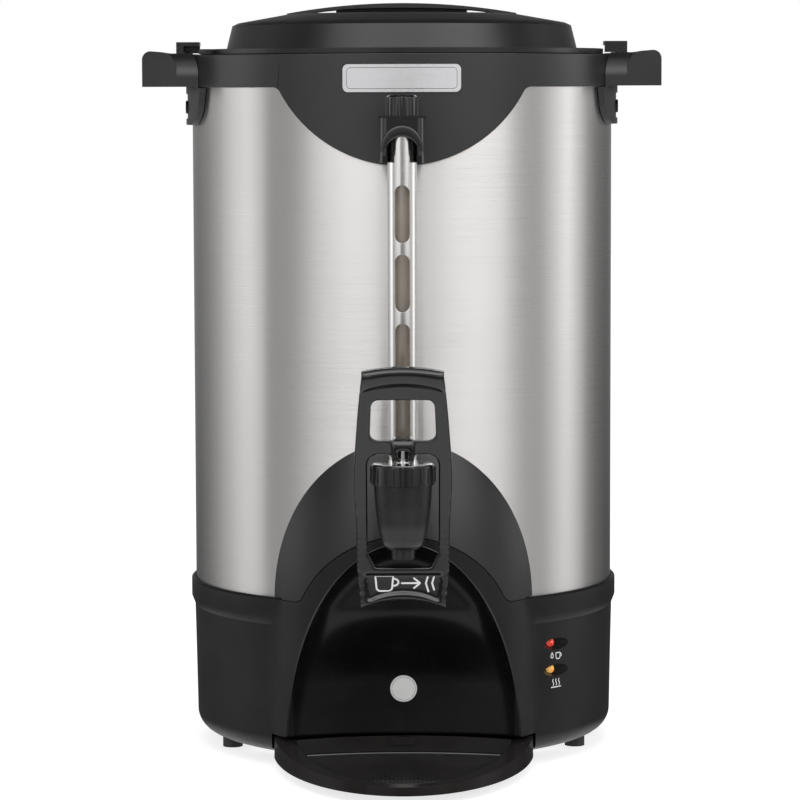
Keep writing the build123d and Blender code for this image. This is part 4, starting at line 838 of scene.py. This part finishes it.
@dataclass
class TankAndCollar(SubAssembly):
    """Steel tank, black collar with its shield, and the bare badge plate."""

    badge_z: float = 396.6
    badge_face_r: float = 128.2
    badge_w: float = 66.6
    badge_h: float = 15.6
    border_in: float = 1.9
    border_corner: float = 2.1
    border_step: float = 0.8
    border: Bead = Bead(0.42, 0.06, 0.03)

    def build(self) -> None:
        """Dresses the tank's group and lines the badge."""
        self.dress("tank", Finish.STEEL, 0.2)
        self.dress("top_collar", Finish.SATIN, 0.5)
        self.dress("badge_plate", Finish.PLATE, 0.35)
        wall = RoundWall(self.badge_face_r, 0.0, self.badge_z)
        line = self.border.along(*wall.lift(self.border_line()), closed=True)
        self.place("badge_border", [line], Finish.LINE, "urn", "black_satin")

    def border_line(self) -> np.ndarray:
        """Returns a rectangle with round corners, set in from the badge's edge."""
        r = self.border_corner
        w, h = self.badge_w / 2 - self.border_in - r, self.badge_h / 2 - self.border_in - r
        turns = [(w, h, 0), (-w, h, 90), (-w, -h, 180), (w, -h, 270)]
        line = np.vstack([arc(u, v, r, r, a, a + 90, 8) for u, v, a in turns])
        return dense(np.vstack([line, line[:1]]), self.border_step)[:-1]


@dataclass
class BaseAndRecess(SubAssembly):
    """Moulded base, glossy cup recess, hood, lights and everything under the tank."""

    sign_r: float = 125.45
    sign_deg: float = 45.0
    brew_sign_z: float = 59.9
    warm_sign_z: float = 44.1
    sign_line: Bead = Bead(0.62, 0.1)
    arch_half_w: float = 67.6
    arch_h: float = 126.1
    arch_z: float = 9.0
    arch_low_z: float = 19.5
    front_r: float = 87.0
    front_y: float = -55.6
    liner_half_w: float = 67.3
    liner_h: float = 125.8
    liner_low_z: float = 18.8
    liner_thick: float = 0.8
    liner_top_deg: float = 89.4
    liner_grid: tuple[int, int] = (110, 121)
    wall: HollowWall = HollowWall()
    upper_r: float = 129.3
    lean_z: tuple[float, float] = (50.0, 97.0)
    flare_from: float = 0.86
    arch_bead: Bead = Bead(1.1, 0.5, 0.25, 11)
    disc_z: float = 45.4
    disc_line_r: float = 6.8
    disc_proud: float = 0.9
    disc_line: Bead = Bead(0.3, 0.05, 0.03)

    def build(self) -> None:
        """Dresses the base's group and adds the liner, its edge, the signs and the disc's ring."""
        plain = {
            "base_housing": (Finish.BASE, 0.6), "splash_panel": (Finish.SHADED_LINER, 0.4),
            "recess_disc": (Finish.LABEL, 0.15), "tap_hood": (Finish.HOOD, 0.5),
            "rubber_feet": (Finish.RUBBER, 0.6), "base_pan": (Finish.SHEET, 0.2),
            "base_screws": (Finish.ZINC, 0.2), "tie_stud": (Finish.ZINC, 0.2),
            "tie_nut": (Finish.ZINC, 0.2), "heating_well": (Finish.SHEET, 0.2),
            "brew_element": (Finish.SHEET, 0.4), "warm_element": (Finish.SLEEVE, 0.3),
            "thermostat": (Finish.CERAMIC, 0.3), "thermal_fuse": (Finish.CERAMIC, 0.3),
            "terminal_block": (Finish.CERAMIC, 0.4), "inner_wires": (Finish.SLEEVE, 0.0),
            "power_inlet": (Finish.FINE, 0.4), "inlet_pins": (Finish.CHROME, 0.2),
            "brew_lens": (Finish.RED, 0.0), "warm_lens": (Finish.AMBER, 0.0),
            "indicator_board": (Finish.BOARD, 0.2),
        }
        for node, (finish, edge) in plain.items():
            self.dress(node, finish, edge)
        # the liner's finish carries painted shade: it is darkened to stand for the shade inside the
        # recess
        liner = self.place("recess_liner", [self.liner()], Finish.SHADED_LINER, "urn", "black_gloss")
        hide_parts("splash_panel")
        edge = self.arch_bead.along(*self.arch_line())
        self.place("recess_edge", [edge], Finish.GLOSS, "urn", "black_gloss")
        for sign, z in ((Sign.BREW, self.brew_sign_z), (Sign.WARM, self.warm_sign_z)):
            wall = RoundWall(self.sign_r, self.sign_deg, z)
            self.draw(sign.value + "_sign", sign, wall, self.sign_line, "urn")
        face = HollowWall(forward=self.disc_proud, z=self.disc_z)
        ring = arc(0.0, 0.0, self.disc_line_r, self.disc_line_r, 0, 360, 73)[:-1]
        line = self.disc_line.along(*face.lift(ring), closed=True)
        self.place("disc_ring", [line], Finish.LINE, "urn", "black_satin")

    def liner(self) -> Patch:
        """Glossy liner: one smooth hollow under the arch, flared to the front at its edge.

        With q from the foot to the top and p from side to side, z = z0 + h sin q and
        x = w cos q sin p. The hollow's depth turns from the bowed back wall to the tank's round by
        a smooth step in z, and reaches the front's circle as the elliptical radius nears 1.

        Returns:
            The liner as a closed patch, with its front and back faces.
        """
        w, h = self.liner_half_w, self.liner_h
        start = math.asin((self.liner_low_z - self.arch_z) / h)
        rows, cols = self.liner_grid
        q = np.linspace(start, math.radians(self.liner_top_deg), rows)[:, None]
        p = np.radians(np.linspace(-90.0, 90.0, cols))[None, :]
        z = self.arch_z + h * np.sin(q) + 0 * p
        x = w * np.cos(q) * np.sin(p)
        low, high = self.wall.depth(x), -np.sqrt(self.upper_r**2 - x**2)
        t = np.clip((z - self.lean_z[0]) / (self.lean_z[1] - self.lean_z[0]), 0, 1)
        back = low + (high - low) * t * t * (3 - 2 * t)
        rho = np.sqrt((x / w) ** 2 + np.sin(q) ** 2)
        flare = np.clip((rho - self.flare_from) / (1 - self.flare_from), 0, 1) ** 3
        y = back + (self.front_y - np.sqrt(self.front_r**2 - x**2) - back) * flare
        face = np.stack([x, y, z], -1)
        rear = face + np.array([0.0, self.liner_thick, 0.0])
        return Patch(np.concatenate([face, rear[:, ::-1]], 1))

    def arch_line(self) -> tuple[np.ndarray, np.ndarray]:
        """Edge of the recess: an upright half-ellipse laid on the round front.

        x = w cos a and z = z0 + h sin a, and y follows the front's circle in plan.

        Returns:
            Points and outward normals.
        """
        start = math.asin((self.arch_low_z - self.arch_z) / self.arch_h)
        a = np.linspace(start, math.pi - start, 180)
        x, z = self.arch_half_w * np.cos(a), self.arch_z + self.arch_h * np.sin(a)
        y = -np.sqrt(self.front_r**2 - x**2)
        normal = np.stack([x, y, 0 * x], 1) / self.front_r
        return np.stack([x, self.front_y + y, z], 1), normal


@dataclass
class Tap(SubAssembly):
    """Tap body, valve and the press lever with its sign."""

    sign_z: float = 111.0
    sign_line: Bead = Bead(1.15, 0.2)
    grip_half_w: float = 22.6
    grip_low_z: float = 225.0
    grip_arch: float = 4.2
    grip_top_z: float = 239.2
    grip_top_drop: float = 2.6
    grip_face: BentFace = BentFace(forward=5.0)
    grip_out: float = 3.2
    grip_sunk: float = 2.0
    grip_rows: int = 70
    grip_sides: int = 26

    def grip(self) -> Patch:
        """Rounded grip over the lever's top: a half-round bar whose lower edge arches.

        Across the lever x = w u. A section's edges are the arched foot and the crowned top, and
        between them z = mid + half cos b and y = face - out sin b, b from 0 to pi, with the out
        fading at both ends as (1 - u to the 10th) to the power 1/4.

        Returns:
            The grip as a closed patch, with a flat sunk back.
        """
        u = np.sin(np.radians(np.linspace(-90, 90, self.grip_rows)))[:, None]
        b = np.linspace(0.0, math.pi, self.grip_sides)[None, :]
        x = self.grip_half_w * u
        low = self.grip_low_z + self.grip_arch * (1 - u**2)
        top = self.grip_top_z - self.grip_top_drop * u**2
        z = (low + top) / 2 + (top - low) / 2 * np.cos(b)
        flat = np.stack([(x + 0 * b).ravel(), z.ravel()], 1)
        face, normal = self.grip_face.lift(flat)
        fade = np.clip(1 - u**10, 0.0, 1.0) ** 0.25
        out = (self.grip_out * fade * np.sin(b)).ravel()[:, None]
        front = (face + normal * out).reshape(len(u), -1, 3)
        inward = normal.reshape(front.shape)[:, [-1, 0]] * self.grip_sunk
        return Patch(np.concatenate([front, front[:, [-1, 0]] - inward], 1))

    def build(self) -> None:
        """Dresses the tap's group and draws the sign on the press plate."""
        plain = {
            "tap_body": (Finish.FINE, 0.5), "outer_washer": (Finish.SILICONE, 0.2),
            "inner_washer": (Finish.SILICONE, 0.2), "shank_nut": (Finish.SHEET, 0.3),
            "bonnet_ring": (Finish.GLOSS, 0.35), "bonnet_cap": (Finish.CHROME, 0.25),
            "valve_stem": (Finish.CHROME, 0.2), "seat_cup": (Finish.SILICONE, 0.3),
            "stem_spring": (Finish.CHROME, 0.0), "lever_pin": (Finish.CHROME, 0.2),
        }
        for node, (finish, edge) in plain.items():
            self.dress(node, finish, edge)
        self.dress("lever", Finish.GLOSS, 0.0)
        self.soften("lever")
        self.place("lever_grip", [self.grip()], Finish.GLOSS, "lever", "black_gloss")
        plate = BentFace(z=self.sign_z)
        self.draw("press_sign", Sign.PRESS_CUP, plate, self.sign_line, "lever")


@dataclass
class SightGauge(SubAssembly):
    """Slotted steel tube, glass, stained backing, holder and knurled cap nut."""

    axis_y: float = -145.0
    backing_r: float = 6.5
    backing_thick: float = 0.3
    backing_from_deg: float = -20.0
    backing_to_deg: float = 200.0
    backing_low_z: float = 176.5
    backing_top_z: float = 359.0
    arch_z: float = 356.6
    arch_in: tuple[float, float] = (8.7, 7.6)
    arch_out: tuple[float, float] = (12.0, 14.2)
    arch_y: tuple[float, float] = (-157.4, -153.6)
    arch_below: float = 0.04
    arch_power: float = 0.45

    def build(self) -> None:
        """Dresses the gauge, stands the backing behind the glass and adds the holder's arch."""
        self.dress("gauge_shield", Finish.TUBE, 0.2)
        self.dress("gauge_glass", Finish.GLASS, 0.0)
        self.dress("gauge_seals", Finish.SILICONE, 0.2)
        self.dress("gauge_bracket", Finish.GLOSS, 0.7, 3)
        self.dress("gauge_cap_nut", Finish.GLOSS, 0.3)
        self.place("gauge_backing", [self.backing()], Finish.BACKING, "urn", "sheet")
        self.place("gauge_arch", [self.arch()], Finish.FINE, "urn", "black_gloss")

    def arch(self) -> Patch:
        """Arched band over the tube's upper end, on the holder's front.

        Each section is a rounded bar between an inner half-ellipse (w cos a, z0 + h sin a), which
        hugs the tube, and an outer one, and the section's corners are turned by a superellipse.

        Returns:
            The band as a closed patch.
        """
        a = np.linspace(-self.arch_below, math.pi + self.arch_below, 60)[:, None]
        b = np.linspace(0.0, 2 * math.pi, 24, endpoint=False)[None, :]
        cross = np.sign(np.cos(b)) * np.abs(np.cos(b)) ** self.arch_power
        depth = np.sign(np.sin(b)) * np.abs(np.sin(b)) ** self.arch_power
        share = (cross + 1) / 2
        w = self.arch_in[0] + (self.arch_out[0] - self.arch_in[0]) * share
        h = self.arch_in[1] + (self.arch_out[1] - self.arch_in[1]) * share
        front, back = self.arch_y
        y = (front + back) / 2 + depth * (back - front) / 2
        return Patch(np.stack([w * np.cos(a), y + 0 * a, self.arch_z + h * np.sin(a)], -1))

    def backing(self) -> Patch:
        """Half-round strip: (r cos a, r sin a) in plan, a from side to side round the back.

        Returns:
            The strip as a closed patch, with its inner and outer faces.
        """
        a = np.radians(np.linspace(self.backing_from_deg, self.backing_to_deg, 40))
        outer, inner = self.backing_r, self.backing_r - self.backing_thick
        loop = np.concatenate([a, a[::-1]])
        r = np.concatenate([np.full(len(a), outer), np.full(len(a), inner)])
        plan = np.stack([r * np.cos(loop), self.axis_y + r * np.sin(loop)], 1)
        z = np.linspace(self.backing_low_z, self.backing_top_z, 12)
        grid = np.empty((len(z), len(loop), 3))
        grid[..., :2] = plan[None]
        grid[..., 2] = z[:, None]
        return Patch(grid)


@dataclass
class HandlesAndLocks(SubAssembly):
    """Side handles with their fasteners and the lid locks."""

    def build(self) -> None:
        """Dresses both sides alike."""
        for side in ("right", "left"):
            self.dress("handle_" + side, Finish.SATIN, 1.1, 3)
            self.dress("lid_lock_" + side, Finish.FINE, 0.5)
        self.dress("handle_screws", Finish.DARK_SCREW, 0.2)
        self.dress("handle_nuts", Finish.DARK_SCREW, 0.2)


@dataclass
class LidGroup(SubAssembly):
    """Lid with its seal, strap handle and screws."""

    def build(self) -> None:
        """Dresses the lid."""
        self.dress("lid_seal", Finish.SILICONE, 0.2)
        self.dress("lid_shell", Finish.LID, 0.8, 3)
        self.dress("lid_handle", Finish.SATIN, 0.8, 3)
        self.dress("lid_screws", Finish.ZINC, 0.2)


@dataclass
class PumpAndBasket(SubAssembly):
    """Percolator's tube, foot, basket and spreader."""

    def build(self) -> None:
        """Dresses the brewing parts inside the tank."""
        self.dress("pump_tube", Finish.SHEET, 0.2)
        self.dress("pump_foot", Finish.SHEET, 0.2)
        self.dress("brew_basket", Finish.SHEET, 0.0)
        self.dress("basket_cover", Finish.DULL_SHEET, 0.0)


@dataclass
class DripTray(SubAssembly):
    """Oval tray that slides into the base, with its rounded inner edges."""

    half_w: float = 65.0
    reach: float = 125.0
    middle_y: float = -78.0
    front_y: float = -211.0
    front_z: float = 10.0
    rise: float = 0.07
    floor_z: float = 7.8
    wall: HollowWall = HollowWall(back_y=-101.5)
    foot_half_w: float = 60.0
    rim_deg: tuple[float, float] = (194.0, 346.0)
    rim_line: Bead = Bead(1.3, 0.35, 0.1, 11)
    foot_line: Bead = Bead(3.2, 1.5, 0.1, 13)

    def build(self) -> None:
        """Dresses the tray and adds the rim's inner edge and its back wall's rounded foot."""
        self.dress("drip_tray", Finish.TRAY, 0.7, 3)
        for name, path, bead in (
            ("tray_rim_edge", self.rim(), self.rim_line),
            ("tray_wall_foot", self.foot(), self.foot_line),
        ):
            up = np.tile([0.0, 0.0, 1.0], (len(path), 1))
            self.place(name, [bead.along(path, up)], Finish.GLOSS, "tray", "black_gloss")

    def rim(self) -> np.ndarray:
        """Returns the rim's inner edge: an ellipse in plan, rising with y from the front."""
        a = np.linspace(*np.radians(self.rim_deg), 150)
        x, y = self.half_w * np.cos(a), self.middle_y + self.reach * np.sin(a)
        return np.stack([x, y, self.front_z + self.rise * (y - self.front_y)], 1)

    def foot(self) -> np.ndarray:
        """Returns the foot of the back wall, level on the tray's floor."""
        x = np.linspace(-self.foot_half_w, self.foot_half_w, 90)
        return np.stack([x, self.wall.depth(x), self.floor_z + 0 * x], 1)


# ------------------------------------------------------------------ studio
@dataclass(frozen=True)
class Lamp:
    """Square soft panel: its place and aim in metres, its side in metres and its power in watts."""

    name: str
    at: Triple
    aim: Triple
    side: float
    watts: float

    def hang(self) -> None:
        """Adds the panel, which shiny pieces don't mirror."""
        data = bpy.data.lights.new(self.name, "AREA")
        data.size = self.side
        data.energy = self.watts
        lamp = bpy.data.objects.new(self.name, data)
        bpy.context.scene.collection.objects.link(lamp)
        lamp.location = self.at
        way = Vector(self.aim) - Vector(self.at)
        lamp.rotation_euler = way.to_track_quat("-Z", "Y").to_euler()
        lamp.visible_glossy = False


@dataclass
class Studio:
    """White sweep, soft light and the camera."""

    eye: Triple = (0.0, -2.0729, 0.3924)
    pitch_deg: float = 5.2025
    yaw_deg: float = 0.0457
    roll_deg: float = 0.174
    lens_mm: float = 155.41
    sensor_mm: float = 36.0
    ambient: float = 0.6
    floor_half: float = 6.0
    floor_tones: tuple[float, float] = (0.84, 0.86)
    floor_cloud: float = 1.5
    # the floor as the camera sees it: its tone under the lamps and its own light
    floor_seen: float = 0.5
    floor_light: float = 0.74
    lamps: tuple[Lamp, ...] = (
        Lamp("key", (1.5, -1.3, 1.0), (0.0, 0.0, 0.25), 1.2, 10.0),
        Lamp("fill", (-1.6, -1.2, 0.9), (0.0, 0.0, 0.25), 1.2, 7.0),
        Lamp("top", (0.0, -0.3, 2.0), (0.0, 0.0, 0.2), 1.4, 12.0),
    )
    # brightness seen in shiny pieces, by the angle from the front: (degrees, left, right)
    bands: tuple[Triple, ...] = (
        (0, 0.36, 0.34), (10, 0.4, 0.34), (17, 1.0, 0.6), (30, 1.12, 0.95), (42, 0.95, 1.1),
        (54, 0.84, 0.95), (64, 0.6, 0.62), (79.5, 0.52, 0.72), (83, 1.36, 0.82), (93, 1.7, 1.45),
        (102, 1.45, 1.95), (112, 1.0, 1.2), (122, 0.62, 0.5), (135, 0.36, 0.25), (152, 0.22, 0.16),
        (180, 0.3, 0.3),
    )
    # share of that brightness by the sine of the height above the horizon
    heights: Stops = (
        (-1.0, 0.1), (-0.3, 0.08), (-0.17, 0.22), (-0.04, 1.0), (0.07, 1.45), (0.17, 0.8),
        (0.32, 0.2), (0.6, 0.1), (1.0, 0.15),
    )
    # light thrown back by the floor close to the object, by the same sine
    floor_glow: Stops = ((-1.0, 1.0), (-0.55, 1.0), (-0.4, 0.6), (-0.26, 0.0))
    # soft box above and in front: its shares by angle and by the same sine, and its brightness
    box_round: Stops = (
        (-62.0, 0.0), (-42.0, 0.8), (-20.0, 0.95), (8.0, 0.85), (35.0, 1.05), (58.0, 1.05),
        (76.0, 0.0),
    )
    box_rise: Stops = ((0.16, 0.0), (0.31, 1.0), (0.62, 1.0), (0.8, 0.35), (1.0, 0.2))
    box_light: float = 3.6

    def build(self) -> None:
        """Builds world, floor, lamps and camera."""
        self.world()
        self.floor()
        for lamp in self.lamps:
            lamp.hang()
        self.camera()

    def world(self) -> None:
        """World: white to the camera, upright soft bands to shiny pieces, even grey to the rest."""
        world = bpy.data.worlds.new("studio")
        bpy.context.scene.world = world
        world.cycles.sampling_method = "NONE"
        s = NodeSheet(world)
        x, y, z = s.add("SeparateXYZ", Vector=s.place.outputs["Generated"]).outputs
        turn = s.math("ARCTAN2", x, s.math("MULTIPLY", y, -1.0))
        angle = s.math("MULTIPLY", turn, 180.0 / math.pi)
        stops = [(-a, left) for a, left, _ in reversed(self.bands)]
        stops += [(a, right) for a, _, right in self.bands[1:]]
        bands = s.math(
            "MULTIPLY", s.levels(angle, -180.0, 180.0, stops), s.levels(z, -1.0, 1.0, self.heights)
        )
        box = s.math(
            "MULTIPLY",
            s.levels(angle, -180.0, 180.0, self.box_round), s.levels(z, -1.0, 1.0, self.box_rise),
        )
        lit = s.math("ADD", bands, s.math("MULTIPLY", box, self.box_light))
        shiny = s.math("ADD", lit, s.levels(z, -1.0, 1.0, self.floor_glow))
        path = s.add("LightPath").outputs
        grey = (self.ambient, self.ambient, self.ambient, 1.0)
        seen = s.add("MixRGB", i0=path["Is Glossy Ray"], i1=grey, i2=shiny)
        white = s.math("MAXIMUM", path["Is Camera Ray"], path["Is Transmission Ray"])
        final = s.add("MixRGB", i0=white, i1=seen.outputs[0], i2=(1.0, 1.0, 1.0, 1.0))
        s.end(s.add("Background", i0=final.outputs[0]))

    def floor(self) -> None:
        """Pale floor, white to the camera, that keeps a soft shadow."""
        mesh = bpy.data.meshes.new("floor")
        h = self.floor_half
        mesh.from_pydata([(-h, -h, 0), (h, -h, 0), (h, h, 0), (-h, h, 0)], [], [(0, 1, 2, 3)])
        obj = bpy.data.objects.new("floor", mesh)
        bpy.context.scene.collection.objects.link(obj)
        s = sheet("floor")
        seen = s.add("LightPath").outputs["Is Camera Ray"]
        low, high = self.floor_tones
        pale = s.blend(s.spots((self.floor_cloud,) * 3, 2.0), (low,) * 3, (high,) * 3)
        dark = (self.floor_seen, self.floor_seen, self.floor_seen, 1.0)
        shade = s.add("MixRGB", Fac=seen, Color1=pale, Color2=dark)
        lit = s.add("BsdfDiffuse", Color=shade.outputs[0])
        strength = s.math("MULTIPLY", seen, self.floor_light)
        glow = s.add("Emission", Color=(1.0, 1.0, 1.0, 1.0), Strength=strength)
        mesh.materials.append(s.end(s.add("AddShader", i0=lit.outputs[0], i1=glow.outputs[0])))
        obj.visible_glossy = False

    def camera(self) -> None:
        """Long lens in front, slightly above the tank's middle."""
        data = bpy.data.cameras.new("camera")
        data.lens = self.lens_mm
        data.sensor_width = self.sensor_mm
        cam = bpy.data.objects.new("camera", data)
        bpy.context.scene.collection.objects.link(cam)
        turn = Matrix.Rotation(math.radians(self.yaw_deg), 4, "Z")
        tilt = Matrix.Rotation(math.radians(90.0 - self.pitch_deg), 4, "X")
        roll = Matrix.Rotation(math.radians(-self.roll_deg), 4, "Z")
        cam.matrix_world = Matrix.Translation(self.eye) @ turn @ tilt @ roll
        bpy.context.scene.camera = cam


def main() -> None:
    """Builds the urn and its studio."""
    logging.basicConfig(level=logging.INFO, format="%(message)s")
    bpy.context.scene.view_settings.view_transform = "Standard"
    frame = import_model()
    Studio().build()
    made: dict[Finish, bpy.types.Material] = {}
    for group in (
        TankAndCollar, BaseAndRecess, Tap, SightGauge, HandlesAndLocks, LidGroup, PumpAndBasket,
        DripTray,
    ):
        group(frame, made).build()


if __name__ == "__main__":
    main()
